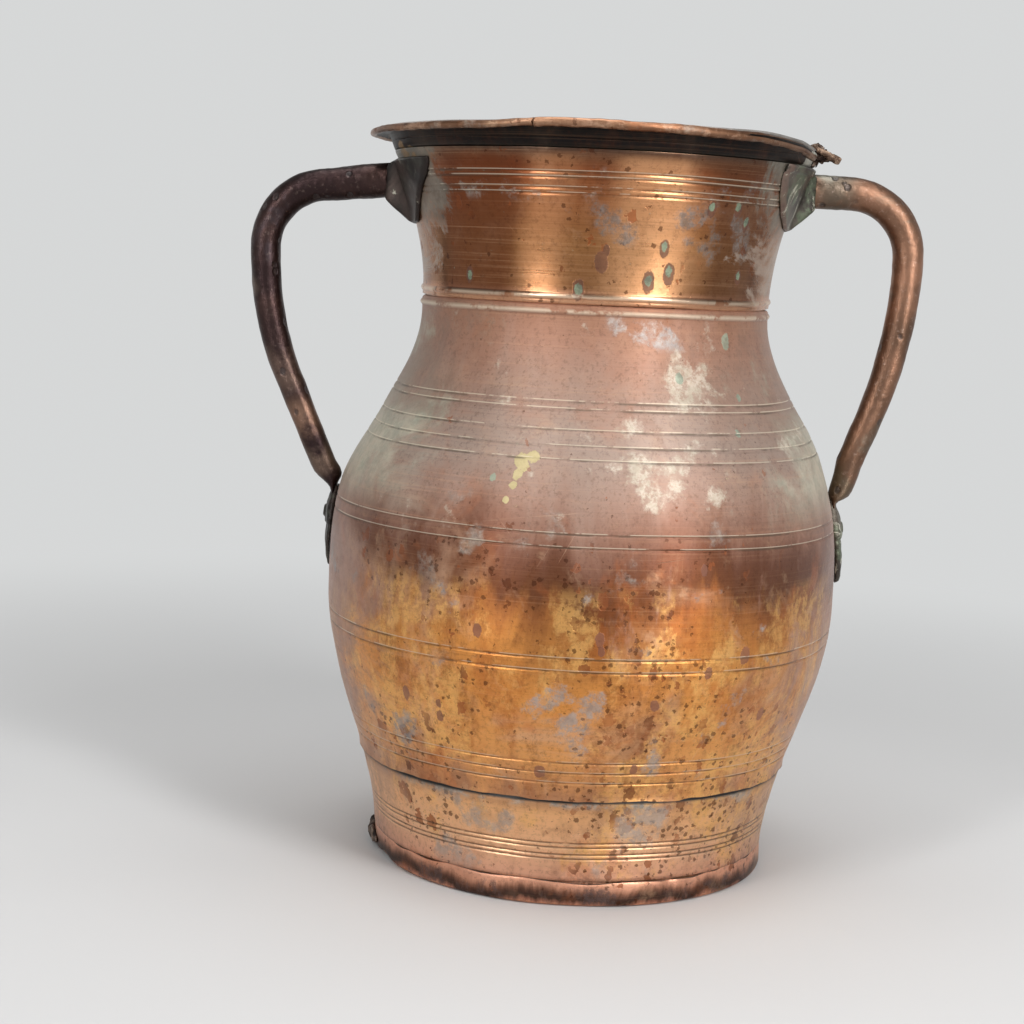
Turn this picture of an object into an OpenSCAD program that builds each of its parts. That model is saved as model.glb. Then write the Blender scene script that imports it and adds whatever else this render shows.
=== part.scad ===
/* [Jar profile] */
// Radius of the foot where the jar stands
foot_radius = 107.8; // [104:0.1:110]
// Greatest radius of the belly
belly_radius = 138.6; // [134:0.1:142]
// Height where the belly reaches its full radius
belly_low = 145; // [140:1:150]
// Height of the full band round the belly
belly_band = 20; // [17:1:23]
// Radius of the neck at its narrowest
neck_radius = 94.1; // [92:0.1:96]
// Height where the shoulder ends and the neck begins
neck_low = 300; // [297:1:302]
// Length of the narrow part of the neck
neck_length = 12; // [11:0.5:14]
// How far the flare spreads beyond the neck
flare_spread = 20.7; // [20:0.1:21.4]
// Height of the underside of the brim
brim_height = 389.4; // [389:0.1:390]
// Thickness of the copper sheet
wall = 1.6; // [1.4:0.1:1.8]

/* [Seams and lines] */
// Height of the upturned band of the bottom plate
heel_height = 13; // [10:0.5:15]
// Height of the lap seam between base and belly
seam_height = 58.5; // [56:0.5:61]
// Rise of the joint between belly and neck above the shoulder
neck_joint_rise = 5.5; // [5:0.1:6]
// Drop from the brim to the scuffed lip where the neck meets the collar
lip_drop = 7.9; // [7.5:0.1:8.4]
// Overlap of two sheets at a lap
lap_length = 6; // [5:0.5:7]
// Clearance between two lapped sheets
lap_gap = 0.2; // [0.15:0.05:0.3]
// Depth of a turned line
line_depth = 0.5; // [0.3:0.05:0.6]
// Width of a turned line
line_width = 1.6; // [1.2:0.1:2]
// Height of the two rounded beads at the neck joint
bead_rise = 1; // [0.6:0.1:1.3]

/* [Brim] */
// How far the rolled edge reaches beyond the collar
brim_overhang = 5.4; // [5:0.1:6.2]
// Distance that the brim sits off the axis, away from the hinge
brim_offset = 5; // [4.5:0.1:5.4]
// Radius of the rolled edge
roll_radius = 2.4; // [2.3:0.05:2.6]
// Radius of the wire inside the rolled edge
rim_wire_radius = 1.1; // [0.9:0.05:1.1]

/* [Handles] */
// Radius of the tube where it enters the upper socket
tube_root_radius = 9.4; // [9:0.1:9.6]
// Radius of the tube round the top bend
tube_bend_radius = 8.5; // [8.2:0.1:8.7]
// Radius of the tube down the upper part of the grip
tube_grip_radius = 7.9; // [7.6:0.1:8.1]
// Radius of the tube where the straight leg begins
tube_leg_radius = 7.3; // [7:0.1:7.5]
// Radius of the tube at its lower end
tube_end_radius = 6.6; // [6.4:0.1:6.8]
// Wall of the handle tubes
tube_wall = 1.5; // [1.2:0.1:2]
// Radius of the top bend at the tube's centre line
top_bend = 34; // [32:0.5:35]
// Drop from the brim to the left tube where it leaves its socket
left_tube_drop = 23.5; // [22.5:0.1:24.5]
// Slope of the left tube as it leaves its socket, degrees downward
left_tube_slope = 6.5; // [5:0.5:8]
// Drop from the brim to the right tube where it leaves its socket
right_tube_drop = 19; // [18.4:0.1:20]
// Slope of the right tube as it leaves its socket, degrees downward
right_tube_slope = 0.5; // [0.5:0.5:2]
// How far the left tube's centre stands out beyond the belly
left_reach = 41.6; // [38:0.1:44]
// How far the right tube's centre stands out beyond the belly
right_reach = 30.6; // [28:0.1:34]
// Turn of the left grip as a share of its overall slant
left_grip_share = 1.392; // [1.2:0.002:1.7]
// Turn of the right grip as a share of its overall slant
right_grip_share = 1.474; // [1.2:0.002:1.7]
// Height where the left tube ends above its palmette
left_end_height = 202; // [199:0.5:205]
// Height where the right tube ends above its palmette
right_end_height = 205.5; // [202:0.5:208]
// Distance from the wall to the centre of the left tube's lower end
left_end_gap = 9.1; // [8.4:0.1:10]
// Distance from the wall to the centre of the right tube's lower end
right_end_gap = 7.6; // [7:0.1:9]

/* [Handle mounts] */
// Half width of a socket plate along its top edge
socket_half_width = 62; // [56:1:64]
// Thickness of a socket plate
plate_thickness = 2.6; // [2.2:0.1:3]
// Gap between a plate and the sheet behind it
plate_gap = 0.3; // [0.25:0.05:0.4]
// How far the face of a socket stands proud of the collar
socket_proud = 0.8; // [0.3:0.1:1.2]
// Half width of a palmette at its widest
palmette_half_width = 17; // [14:0.5:20]
// Thickness of a palmette
palmette_thickness = 3.4; // [3:0.1:3.8]
// Gap behind a palmette below its lug
palmette_gap = 1.2; // [0.8:0.1:1.4]
// Radius of a rivet shank in the handle mounts
rivet_radius = 2.5; // [2:0.1:2.8]

/* [Lid and hinge] */
// Gap between the lid's edge and the collar
lid_gap = 0.5; // [0.4:0.05:0.7]
// Drop from the brim to the lid's underside
lid_drop = 6.3; // [6.2:0.1:6.4]
// Width of the flat edge round the lid's dome
lid_edge = 17.4; // [16:0.5:24]
// Rise of the lid's dome
dome_rise = 6.6; // [4:0.2:7]
// Rise of the knob above the dome
knob_rise = 8.7; // [8.2:0.1:9.2]
// How far the hinge pin sits inside the collar's radius
hinge_inset = 2.3; // [2:0.1:2.4]
// Rise of the hinge pin above the brim
hinge_rise = 2.4; // [2.2:0.1:2.6]
// Radius of the hinge knuckles
knuckle_radius = 3.2; // [3:0.1:3.3]
// Radius of the hinge pin
pin_radius = 1.6; // [1.4:0.1:1.7]
// Running clearance round the hinge pin
pin_gap = 0.06; // [0.04:0.01:0.08]
// Half length of the rim leaf along the pin
leaf_half_length = 18; // [16:0.5:19]
// Half length of the lid's knuckle
lid_knuckle_half = 6; // [5:0.5:7]
// Angle by which the bent end of the pin points down
pin_tail_drop = 25; // [20:1:28]
// Length of the bent end of the pin
pin_tail = 13; // [8:0.5:14]

/* [Hidden] */
$fn = 96;
shoulder_power = 1.25;
flare_power = 1.625;
foot_rise = 5;
plate_corner = 2;
joggle = 2.5;
tuck = wall + lap_gap;
belly_high = belly_low + belly_band;
neck_high = neck_low + neck_length;
neck_joint_height = neck_low + neck_joint_rise;
lip_height = brim_height - lip_drop;
collar_radius = neck_radius + flare_spread;
bead_half = 1.8;
bead_below_joint = 3.5;
bead_above_joint = 4.1;
bead_below_lip = 1.3;
bead_heights = [neck_joint_height - bead_below_joint, neck_joint_height + bead_above_joint,
    lip_height - bead_below_lip];
body_lines = [25.4, 27.8, 31.6, 34, 67.9, 73.5, 79.2, 128, 134.5, 189, 195.5,
    230.2, 236.8, 244.3, 254.2, 257.8];
collar_line_drops = [29.6, 26.8, 21.8, 19.2];
line_heights = concat(body_lines, [for (drop = collar_line_drops) brim_height - drop]);
profile_step = 7;
inside_step = 9;
far = 1000;
seat_gap = 0.1;
brim_sheet = 1.2;
roll_sheet = 1;
roll_lift = 0.2;
roll_centre = collar_radius + brim_overhang - roll_radius;
roll_height = brim_height + roll_radius + roll_lift;
plate_top = brim_height + brim_sheet;
notch_half = 26;
notch_depth = 3.2;
notch_floor = brim_height - notch_depth;
wire_end_gap = 0.5;
fragment_reach = 3.6;
fragment_low = 0.6;
fragment_high = 10.6;
fragment_angle = 178;
fragment_half_angle = 13;
left_tube_height = brim_height - left_tube_drop;
right_tube_height = brim_height - right_tube_drop;
socket_reach = collar_radius + socket_proud;
root_depth = 5;
root_gap = 0.15;
radius_step = 0.2;
pipe_overlap = 0.3;
tip_drop = 22.3;
crown_rise = 11;
boss_low = 2;
boss_brow = 2.9;
boss_chin_back = 1.6;
boss_brow_back = 2.5;
boss_crown_back = 7;
boss_tip_back = 14.1;
boss_face_half = 10.5;
boss_cheek_half = 13;
boss_cheek_back = 6;
boss_root_half = 30;
shield_corner_drop = 12;
shield_tip_rise = 4;
socket_rivet_drop = 3;
socket_rivet_angle = 21;
rivet_gap = 0.05;
head_gap = 0.15;
head_radius = 4;
head_height = 1.2;
leaf_length = 48;
leaf_neck = 12;
leaf_lobe = 8;
leaf_lobe_drop = 15;
leaf_middle_drop = 21;
leaf_tip_drop = 42;
leaf_tip = 4.5;
lug_drop = 3;
lug_thin = 1.4;
palmette_rivet_drop = 18;
small_rivet_radius = 1.3;
small_head_radius = 2.4;
small_head_height = 0.8;
leaf_low = 3.3;
leaf_high = 2;
leaf_rivet_drop = 0.6;
leaf_rivet_height = notch_floor - leaf_rivet_drop;
leaf_rivet_angle = 6.2;
web_gap = 0.4;
web_inset = 0.8;
knuckle_gap = 0.3;
pin_end = 0.4;
pin_head_length = 1.3;
pin_bend = 3.5;
hinge_reach = collar_radius - hinge_inset;
hinge_height = brim_height + hinge_rise;
lid_height = brim_height - lid_drop;
lid_sheet = 1.5;
lid_top = lid_height + lid_sheet;
strap_sheet = 1.6;
strap_length = 16.5;
strap_flat = 9;
strap_margin = 1.5;
strap_rivet_reach = hinge_reach - 12;
strap_rivet_side = 4;
knob_base = lid_top + dome_rise + seat_gap;
knob_top = knob_base + knob_rise;
knob_radius = 9;
knob_foot = 8;
knob_stem = 4.4;
knob_hole = 5.5;

// Outer radius of the jar at height z, without lines, beads and laps
function body_r(z) =
    z < foot_rise ? foot_radius :
    z < belly_low ? foot_radius + (belly_radius - foot_radius)
        * (1 - cos(180 * (z - foot_rise) / (belly_low - foot_rise))) / 2 :
    z < belly_high ? belly_radius :
    z < neck_low ? neck_radius + (belly_radius - neck_radius)
        * (1 + cos(180 * pow((z - belly_high) / (neck_low - belly_high), shoulder_power))) / 2 :
    z < neck_high ? neck_radius :
    neck_radius + flare_spread * pow((z - neck_high) / (brim_height - neck_high), flare_power);

// Angle by which the outside of the wall leans out at height z
function wall_lean(z) = atan(body_r(z + 0.5) - body_r(z - 0.5));

function clamped(t) = max(0, min(1, t));

// How far a sheet draws in to pass inside its neighbour above top or below bottom
function tucked(z, top, bottom) = tuck
    * max(clamped((z - top + joggle) / joggle), clamped((bottom + joggle - z) / joggle));

function line_cut(z) = max([for (h = line_heights)
    line_depth * clamped(1 - abs(z - h) / (line_width / 2))]);

function bead_swell(z) = max([for (h = bead_heights)
    abs(z - h) < bead_half ? bead_rise * cos(90 * (z - h) / bead_half) : 0]);

// Numbers in rising order, each once
function rising(v) = len(v) < 2 ? v : let (mid = v[floor(len(v) / 2)]) concat(
    rising([for (x = v) if (x < mid) x]), [mid], rising([for (x = v) if (x > mid) x]));

function even_heights(low, high, step) = let (n = ceil((high - low) / step))
    [for (i = [0:n]) low + (high - low) * i / n];

// Heights where a sheet changes shape: laps, turned lines and beads
function feature_heights(top, bottom) = concat(
    [top - joggle, top, bottom, bottom + joggle],
    [for (h = line_heights, s = [-1, 0, 1]) h + s * line_width / 2],
    [for (h = bead_heights, s = [-1, -0.6, -0.2, 0.2, 0.6, 1]) h + s * bead_half]);

function within(v, low, high) = [for (x = v) if (x > low + 0.05 && x < high - 0.05) x];

function outside_profile(low, high, top, bottom) =
    [for (z = rising(concat(even_heights(low, high, profile_step),
        within(feature_heights(top, bottom), low, high))))
        [body_r(z) - tucked(z, top, bottom)
            + (bead_swell(z) - line_cut(z)) * (1 - tucked(z, top, bottom) / tuck), z]];

function inside_profile(low, high, top, bottom) =
    [for (z = rising(concat(even_heights(low, high, inside_step),
        within([top - joggle, top, bottom, bottom + joggle], low, high))))
        [body_r(z) - tucked(z, top, bottom) - wall, z]];

function reversed(v) = [for (i = [len(v) - 1:-1:0]) v[i]];

// Turned sheet from low to high that passes inside its neighbours above top and below bottom
module turned_sheet(low, high, top = far, bottom = -far) {
    rotate_extrude()
        polygon(concat(outside_profile(low, high, top, bottom),
            reversed(inside_profile(low, high, top, bottom))));
}

// Band that follows the jar from low to high, near to far off its outside
module band(low, high, near, off, half_angle) {
    heights = even_heights(low, high, profile_step);
    rotate([0, 0, -half_angle])
        rotate_extrude(angle = 2 * half_angle)
            polygon(concat([for (z = heights) [body_r(z) + off, z]],
                reversed([for (z = heights) [body_r(z) + near, z]])));
}

// Solid space of the jar and its plate gap, to keep mounts clear of it
module jar_space(low, high, gap) {
    heights = even_heights(low, high, profile_step);
    rotate_extrude()
        polygon(concat([[0, low]], [for (z = heights) [body_r(z) + gap, z]], [[0, high]]));
}

// Puts its children on the outside of the wall, with +X along the wall's normal
module at_wall(z, angle = 0) {
    rotate([0, 0, angle])
        translate([body_r(z), 0, z])
            rotate([0, wall_lean(z), 0])
                children();
}

module along_x(low, high, radius) {
    translate([low, 0, 0])
        rotate([0, 90, 0])
            cylinder(h = high - low, r = radius);
}

// Rivet along X from back to front, with a tapered head at each end
module rivet(back, front, shank, head, rise) {
    along_x(back, front, shank);
    translate([back - rise, 0, 0])
        rotate([0, 90, 0])
            cylinder(h = rise, r1 = 0.7 * head, r2 = head);
    translate([front, 0, 0])
        rotate([0, 90, 0])
            cylinder(h = rise, r1 = head, r2 = 0.7 * head);
}

module left_side() {
    mirror([1, 0, 0]) children();
}

// Jar

module bottom_plate() {
    color("#4a362c")
        rotate_extrude()
            polygon([[0, 0], [foot_radius - plate_corner, 0],
                [foot_radius - plate_corner / 3, plate_corner / 3],
                [foot_radius, plate_corner], [body_r(heel_height), heel_height],
                [body_r(heel_height) - wall, heel_height], [foot_radius - wall, wall],
                [0, wall]]);
}

module base_shell() {
    color("#b87f5c")
        turned_sheet(wall + lap_gap, seam_height + lap_length, seam_height, heel_height);
}

module palmette_rivet_space(end_height) {
    at_wall(end_height - palmette_rivet_drop)
        along_x(-3 * wall, 3 * wall + palmette_thickness, rivet_radius + rivet_gap);
}

module belly_shell() {
    color("#b5723c")
        difference() {
            turned_sheet(seam_height, neck_joint_height);
            palmette_rivet_space(right_end_height);
            left_side() palmette_rivet_space(left_end_height);
        }
}

module socket_rivet_spaces(tube_height) {
    for (side = [-1, 1])
        at_wall(tube_height - socket_rivet_drop, side * socket_rivet_angle)
            along_x(-3 * wall, 3 * wall + plate_thickness, rivet_radius + rivet_gap);
}

module neck_shell() {
    color("#a8694a")
        difference() {
            turned_sheet(neck_joint_height - lap_length, lip_height, far, neck_joint_height);
            socket_rivet_spaces(right_tube_height);
            left_side() socket_rivet_spaces(left_tube_height);
        }
}

module hinge_notch(extra = 0) {
    translate([hinge_reach - notch_half / 2, -notch_half - extra, notch_floor])
        cube([2 * notch_half, 2 * (notch_half + extra), 4 * roll_radius + notch_depth]);
}

module leaf_rivet_spaces() {
    for (side = [-1, 1])
        at_wall(leaf_rivet_height, side * leaf_rivet_angle)
            along_x(-2 * wall, 3 * wall, small_rivet_radius + rivet_gap);
}

module collar_brim() {
    color("#8d6a50")
        difference() {
            union() {
                turned_sheet(lip_height - lap_length, plate_top, far, lip_height);
                difference() {
                    translate([-brim_offset, 0, brim_height])
                        cylinder(h = plate_top - brim_height, r = roll_centre);
                    translate([0, 0, brim_height - brim_sheet])
                        cylinder(h = 3 * brim_sheet, r = collar_radius - wall / 2);
                }
                translate([-brim_offset, 0, roll_height])
                    rotate_extrude()
                        translate([roll_centre, 0])
                            difference() {
                                circle(r = roll_radius, $fn = 32);
                                circle(r = roll_radius - roll_sheet, $fn = 32);
                            }
            }
            hinge_notch();
            leaf_rivet_spaces();
        }
}

module rim_wire() {
    color("#3c3835")
        difference() {
            translate([-brim_offset, 0, roll_height])
                rotate_extrude()
                    translate([roll_centre, 0])
                        circle(r = rim_wire_radius, $fn = 32);
            hinge_notch(wire_end_gap);
        }
}

module foot_fragment() {
    root = foot_radius + plate_gap;
    tip = root + fragment_reach;
    rise = fragment_high - fragment_low;
    color("#39302b")
        rotate([0, 0, fragment_angle - fragment_half_angle])
            rotate_extrude(angle = 2 * fragment_half_angle)
                polygon([[root, fragment_low], [root + 0.44 * fragment_reach, fragment_low],
                    [tip, fragment_low + 0.34 * rise], [tip, fragment_low + 0.69 * rise],
                    [root + 0.5 * fragment_reach, fragment_high],
                    [root + 0.11 * fragment_reach, fragment_high]]);
}

// Handle mounts

// Side outline of a socket, from its tip below the tube to its crown
module socket_side(tube_height) {
    under = tube_height - tube_root_radius - radius_step;
    over = tube_height + tube_root_radius + radius_step;
    tip = tube_height - tip_drop;
    crown = tube_height + crown_rise;
    inner = neck_radius - plate_thickness;
    rotate([90, 0, 0])
        linear_extrude(height = 4 * socket_half_width, center = true)
            polygon([[inner, tip], [socket_reach - boss_tip_back, tip],
                [socket_reach - boss_chin_back, under - boss_low], [socket_reach, under],
                [socket_reach, over - boss_brow], [socket_reach - boss_brow_back, over],
                [socket_reach - boss_crown_back, crown], [inner, crown]]);
}

// Shield outline of a socket plate seen along X
module socket_shield(tube_height) {
    w = socket_half_width;
    top = tube_height + crown_rise;
    tip = tube_height - tip_drop;
    corner = top - shield_corner_drop;
    low = tip + shield_tip_rise;
    translate([neck_radius / 2, 0, 0])
        rotate([90, 0, 90])
            linear_extrude(height = neck_radius)
                polygon([[-w, top], [w, top], [0.84 * w, corner], [0.56 * w, low],
                    [0.2 * w, tip], [-0.2 * w, tip], [-0.56 * w, low], [-0.84 * w, corner]]);
}

// Plan outline of a socket's boss, which narrows towards its face
module socket_boss() {
    inner = neck_radius - socket_rivet_drop * plate_thickness;
    cheek = socket_reach - boss_cheek_back;
    linear_extrude(height = 2 * brim_height)
        polygon([[inner, -boss_root_half], [cheek, -boss_cheek_half],
            [socket_reach, -boss_face_half], [socket_reach, boss_face_half],
            [cheek, boss_cheek_half], [inner, boss_root_half]]);
}

module tube_root(tube_height, slope, radius) {
    translate([socket_reach, 0, tube_height])
        rotate([0, slope, 0])
            along_x(-root_depth - radius_step, 2 * root_depth, radius);
}

module upper_socket(tube_height, slope) {
    tip = tube_height - tip_drop;
    crown = tube_height + crown_rise;
    difference() {
        union() {
            intersection() {
                band(tip, crown, plate_gap, plate_gap + plate_thickness, 40);
                socket_shield(tube_height);
            }
            difference() {
                intersection() {
                    socket_side(tube_height);
                    socket_boss();
                }
                jar_space(tip - crown_rise, min(crown + crown_rise, brim_height - plate_gap),
                    plate_gap);
            }
        }
        jar_space(lip_height - bead_below_lip - 1.2 * bead_half, lip_height + bead_half,
            plate_gap + bead_rise);
        tube_root(tube_height, slope, tube_root_radius + root_gap);
        socket_rivet_spaces(tube_height);
    }
}

module left_upper_socket() {
    color("#40403a") left_side() upper_socket(left_tube_height, left_tube_slope);
}

module right_upper_socket() {
    color("#55584f") upper_socket(right_tube_height, right_tube_slope);
}

module socket_rivets(tube_height) {
    for (side = [-1, 1])
        at_wall(tube_height - socket_rivet_drop, side * socket_rivet_angle)
            rivet(-wall - head_gap, plate_gap + plate_thickness + head_gap,
                rivet_radius, head_radius, head_height);
}

module left_socket_rivets() {
    color("#4a4038") left_side() socket_rivets(left_tube_height);
}

module right_socket_rivets() {
    color("#5a5248") socket_rivets(right_tube_height);
}

// Handle tube: a root, a top bend, a long curve down the grip and a straight leg

module ring_section(radius) {
    difference() {
        circle(r = radius, $fn = 48);
        circle(r = radius - tube_wall, $fn = 48);
    }
}

// Hollow cone along +X
module pipe(length, start_radius, end_radius) {
    rotate([0, 90, 0])
        difference() {
            cylinder(h = length, r1 = start_radius, r2 = end_radius, $fn = 48);
            translate([0, 0, -0.01])
                cylinder(h = length + 0.02, r1 = start_radius - tube_wall,
                    r2 = end_radius - tube_wall, $fn = 48);
        }
}

// Arc in the XZ plane that leaves the origin along +X and turns down by an angle
module pipe_bend(bend, angle, radius) {
    lead = pipe_overlap / bend * 180 / PI;
    translate([0, 0, -bend])
        rotate([90, 0, 0])
            rotate([0, 0, 90 - angle])
                rotate_extrude(angle = angle + lead, $fn = 160)
                    translate([bend, 0])
                        ring_section(radius);
}

// Point reached from the origin by an arc that starts at slope a and turns down by t
function arc_end(bend, a, t) =
    bend * [sin(a + t) - sin(a), 0, cos(a + t) - cos(a)];

// Centre of the tube inside its socket
function tube_start(tube_height, slope) =
    [socket_reach - root_depth, 0, tube_height + root_depth * sin(slope)];

// Point where the top bend begins
function bend_start(tube_height, slope, reach) =
    let (start = tube_start(tube_height, slope),
        x = belly_radius + reach - top_bend * (1 - sin(slope)))
    [x, 0, start[2] - (x - start[0]) * tan(slope)];

// Point where the tube turns straight down
function grip_start(tube_height, slope, reach) =
    bend_start(tube_height, slope, reach) + arc_end(top_bend, slope, 90 - slope);

// Angle that a grip turns inward on its way from start to end
function grip_turn(start, end, share) = share * atan((start[0] - end[0]) / (start[2] - end[2]));

// Radius of the arc that leaves start straight down and whose tangent after turn meets end
function grip_curve(start, end, turn) =
    ((start[2] - end[2]) * sin(turn) - (start[0] - end[0]) * cos(turn)) / (1 - cos(turn));

// Centre of a tube's lower end
function tube_end(end_height, gap) = [body_r(end_height) + gap, 0, end_height];

left_end = tube_end(left_end_height, left_end_gap);
left_turn = grip_turn(grip_start(left_tube_height, left_tube_slope, left_reach), left_end,
    left_grip_share);
right_end = tube_end(right_end_height, right_end_gap);
right_turn = grip_turn(grip_start(right_tube_height, right_tube_slope, right_reach), right_end,
    right_grip_share);

module handle(tube_height, slope, reach, turn, end) {
    root = tube_start(tube_height, slope);
    bend = bend_start(tube_height, slope, reach);
    grip = grip_start(tube_height, slope, reach);
    curve = grip_curve(grip, end, turn);
    leg = grip + arc_end(curve, 90, turn);
    translate(root)
        rotate([0, slope, 0])
            pipe(norm(bend - root) + pipe_overlap, tube_root_radius,
                tube_bend_radius + radius_step);
    translate(bend)
        rotate([0, slope, 0])
            pipe_bend(top_bend, 90 - slope, tube_bend_radius);
    translate(grip)
        rotate([0, 90, 0])
            pipe_bend(curve, turn / 2, tube_grip_radius + radius_step);
    translate(grip + arc_end(curve, 90, turn / 2))
        rotate([0, 90 + turn / 2, 0])
            pipe_bend(curve, turn / 2, tube_grip_radius - radius_step);
    translate(leg)
        rotate([0, 90 + turn, 0])
            translate([-pipe_overlap, 0, 0])
                pipe(norm(end - leg) + pipe_overlap, tube_leg_radius, tube_end_radius);
}

module left_handle() {
    color("#46342f")
        left_side()
            handle(left_tube_height, left_tube_slope, left_reach, left_turn, left_end);
}

module right_handle() {
    color("#7a5a48")
        handle(right_tube_height, right_tube_slope, right_reach, right_turn, right_end);
}

// Palmette

// Leaf outline seen along X, hanging from a height
module leaf_outline(top) {
    w = palmette_half_width;
    translate([foot_radius / 2, 0, 0])
        rotate([90, 0, 90])
            linear_extrude(height = foot_radius)
                translate([0, top]) {
                    translate([-leaf_neck / 2, -leaf_lobe_drop])
                        square([leaf_neck, leaf_lobe_drop + lug_thin]);
                    for (side = [-1, 1])
                        translate([side * (w - leaf_lobe), -leaf_lobe_drop])
                            circle(r = leaf_lobe);
                    translate([0, -leaf_middle_drop]) circle(r = 0.76 * w);
                    polygon([[-0.7 * w, -leaf_middle_drop], [0.7 * w, -leaf_middle_drop],
                        [leaf_tip, -leaf_tip_drop], [-leaf_tip, -leaf_tip_drop]]);
                    translate([0, -leaf_tip_drop]) circle(r = leaf_tip);
                }
}

module palmette(end, turn) {
    top = end[2];
    low = top - leaf_length;
    lug_height = top - lug_drop;
    block = 6 * tube_end_radius;
    difference() {
        union() {
            intersection() {
                band(low, top + lug_thin, palmette_gap, palmette_gap + palmette_thickness, 12);
                leaf_outline(top - lug_thin);
            }
            translate([end[0] - lug_thin, 0, lug_height])
                sphere(r = tube_end_radius, $fn = 48);
            translate([0, 0, lug_height])
                along_x(foot_radius, end[0] - lug_thin, tube_end_radius - lug_thin);
        }
        jar_space(low - leaf_tip, top + leaf_middle_drop, plate_gap);
        translate(end)
            rotate([0, turn, 0])
                translate([-block / 2, -block / 2, -lap_gap])
                    cube(block);
        palmette_rivet_space(top);
    }
}

module left_palmette() {
    color("#3f3f38") left_side() palmette(left_end, left_turn);
}

module right_palmette() {
    color("#6a685c") palmette(right_end, right_turn);
}

module palmette_rivet(end) {
    at_wall(end[2] - palmette_rivet_drop)
        rivet(-wall - head_gap, palmette_gap + palmette_thickness + head_gap,
            rivet_radius, head_radius, head_height);
}

module left_palmette_rivet() {
    color("#3a3630") left_side() palmette_rivet(left_end);
}

module right_palmette_rivet() {
    color("#5e5a50") palmette_rivet(right_end);
}

// Hinge

// Cylinder along Y at the pin's axis
module on_pin_axis(low, high, radius) {
    translate([hinge_reach, low, hinge_height])
        rotate([-90, 0, 0])
            cylinder(h = high - low, r = radius, $fn = 48);
}

module pin_space() {
    on_pin_axis(-2 * leaf_half_length, 2 * leaf_half_length, pin_radius + pin_gap);
}

module rim_hinge_leaf() {
    inner = lid_knuckle_half + knuckle_gap;
    web_low = notch_floor + web_gap;
    color("#5a4436")
        difference() {
            union() {
                intersection() {
                    band(notch_floor - leaf_low, notch_floor + leaf_high, plate_gap,
                        plate_gap + wall, 12);
                    translate([hinge_reach / 2, -leaf_half_length, notch_floor - roll_radius * 2])
                        cube([hinge_reach, 2 * leaf_half_length, roll_radius * 4]);
                }
                for (side = [-1, 1])
                    scale([1, side, 1]) {
                        on_pin_axis(inner, leaf_half_length, knuckle_radius);
                        translate([hinge_reach, inner, web_low])
                            cube([knuckle_radius - web_inset, leaf_half_length - inner,
                                hinge_height - web_low]);
                    }
            }
            pin_space();
            leaf_rivet_spaces();
        }
}

module leaf_rivets() {
    color("#4c3a30")
        for (side = [-1, 1])
            at_wall(leaf_rivet_height, side * leaf_rivet_angle)
                rivet(-wall - seat_gap, plate_gap + wall + seat_gap, small_rivet_radius,
                    small_head_radius, small_head_height);
}

module hinge_pin() {
    near_end = -leaf_half_length - pin_end;
    head_start = leaf_half_length + pin_end;
    color("#7a5844") {
        on_pin_axis(near_end, head_start + seat_gap, pin_radius);
        on_pin_axis(head_start, head_start + pin_head_length, 1.5 * pin_radius);
        translate([hinge_reach, near_end, hinge_height])
            rotate([0, pin_tail_drop, 0]) {
                translate([pin_bend, 0, 0])
                    rotate([0, 0, 180])
                        rotate_extrude(angle = 90, $fn = 48)
                            translate([pin_bend, 0])
                                circle(r = pin_radius, $fn = 48);
                translate([pin_bend, -pin_bend, 0])
                    rotate([0, 90, 0])
                        cylinder(h = pin_tail - pin_bend, r = pin_radius, $fn = 48);
            }
    }
}

module strap_rivet_spaces() {
    for (side = [-1, 1])
        translate([strap_rivet_reach, side * strap_rivet_side, lid_height - lid_sheet])
            cylinder(h = 4 * lid_sheet + strap_sheet, r = small_rivet_radius + rivet_gap);
}

module lid_hinge_strap() {
    seat = lid_top + seat_gap;
    start = hinge_reach - strap_length;
    rise_start = start + strap_flat;
    knuckle_side = hinge_reach - 0.6 * knuckle_radius;
    color("#6a5848")
        difference() {
            union() {
                on_pin_axis(-lid_knuckle_half, lid_knuckle_half, knuckle_radius);
                rotate([90, 0, 0])
                    linear_extrude(height = 2 * lid_knuckle_half, center = true)
                        polygon([[rise_start, seat],
                            [knuckle_side, hinge_height - 0.7 * knuckle_radius],
                            [knuckle_side, hinge_height + 0.5 * knuckle_radius],
                            [rise_start - strap_margin, seat + strap_sheet]]);
                translate([start, -lid_knuckle_half - strap_margin, seat])
                    cube([strap_flat, 2 * (lid_knuckle_half + strap_margin), strap_sheet]);
            }
            pin_space();
            strap_rivet_spaces();
        }
}

// Lid

lid_radius = body_r(lid_height) - tucked(lid_height, far, lip_height) - wall - lid_gap;
dome_radius = lid_radius - lid_edge;

// Height of the lid's upper face at a radius
function dome(r) = lid_top + (r < dome_radius
    ? dome_rise * (1 - pow(r / dome_radius, 2)) : 0);

module lid_disc() {
    radii = concat([0], [for (i = [1:9]) dome_radius * i / 9], [lid_radius]);
    color("#8a7a68")
        difference() {
            rotate_extrude()
                polygon(concat([for (r = radii) [r, dome(r) - lid_sheet]],
                    reversed([for (r = radii) [r, dome(r)]])));
            strap_rivet_spaces();
            translate([0, 0, lid_height])
                cylinder(h = 2 * dome_rise + lid_sheet, r = rivet_radius + rivet_gap);
        }
}

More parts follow.
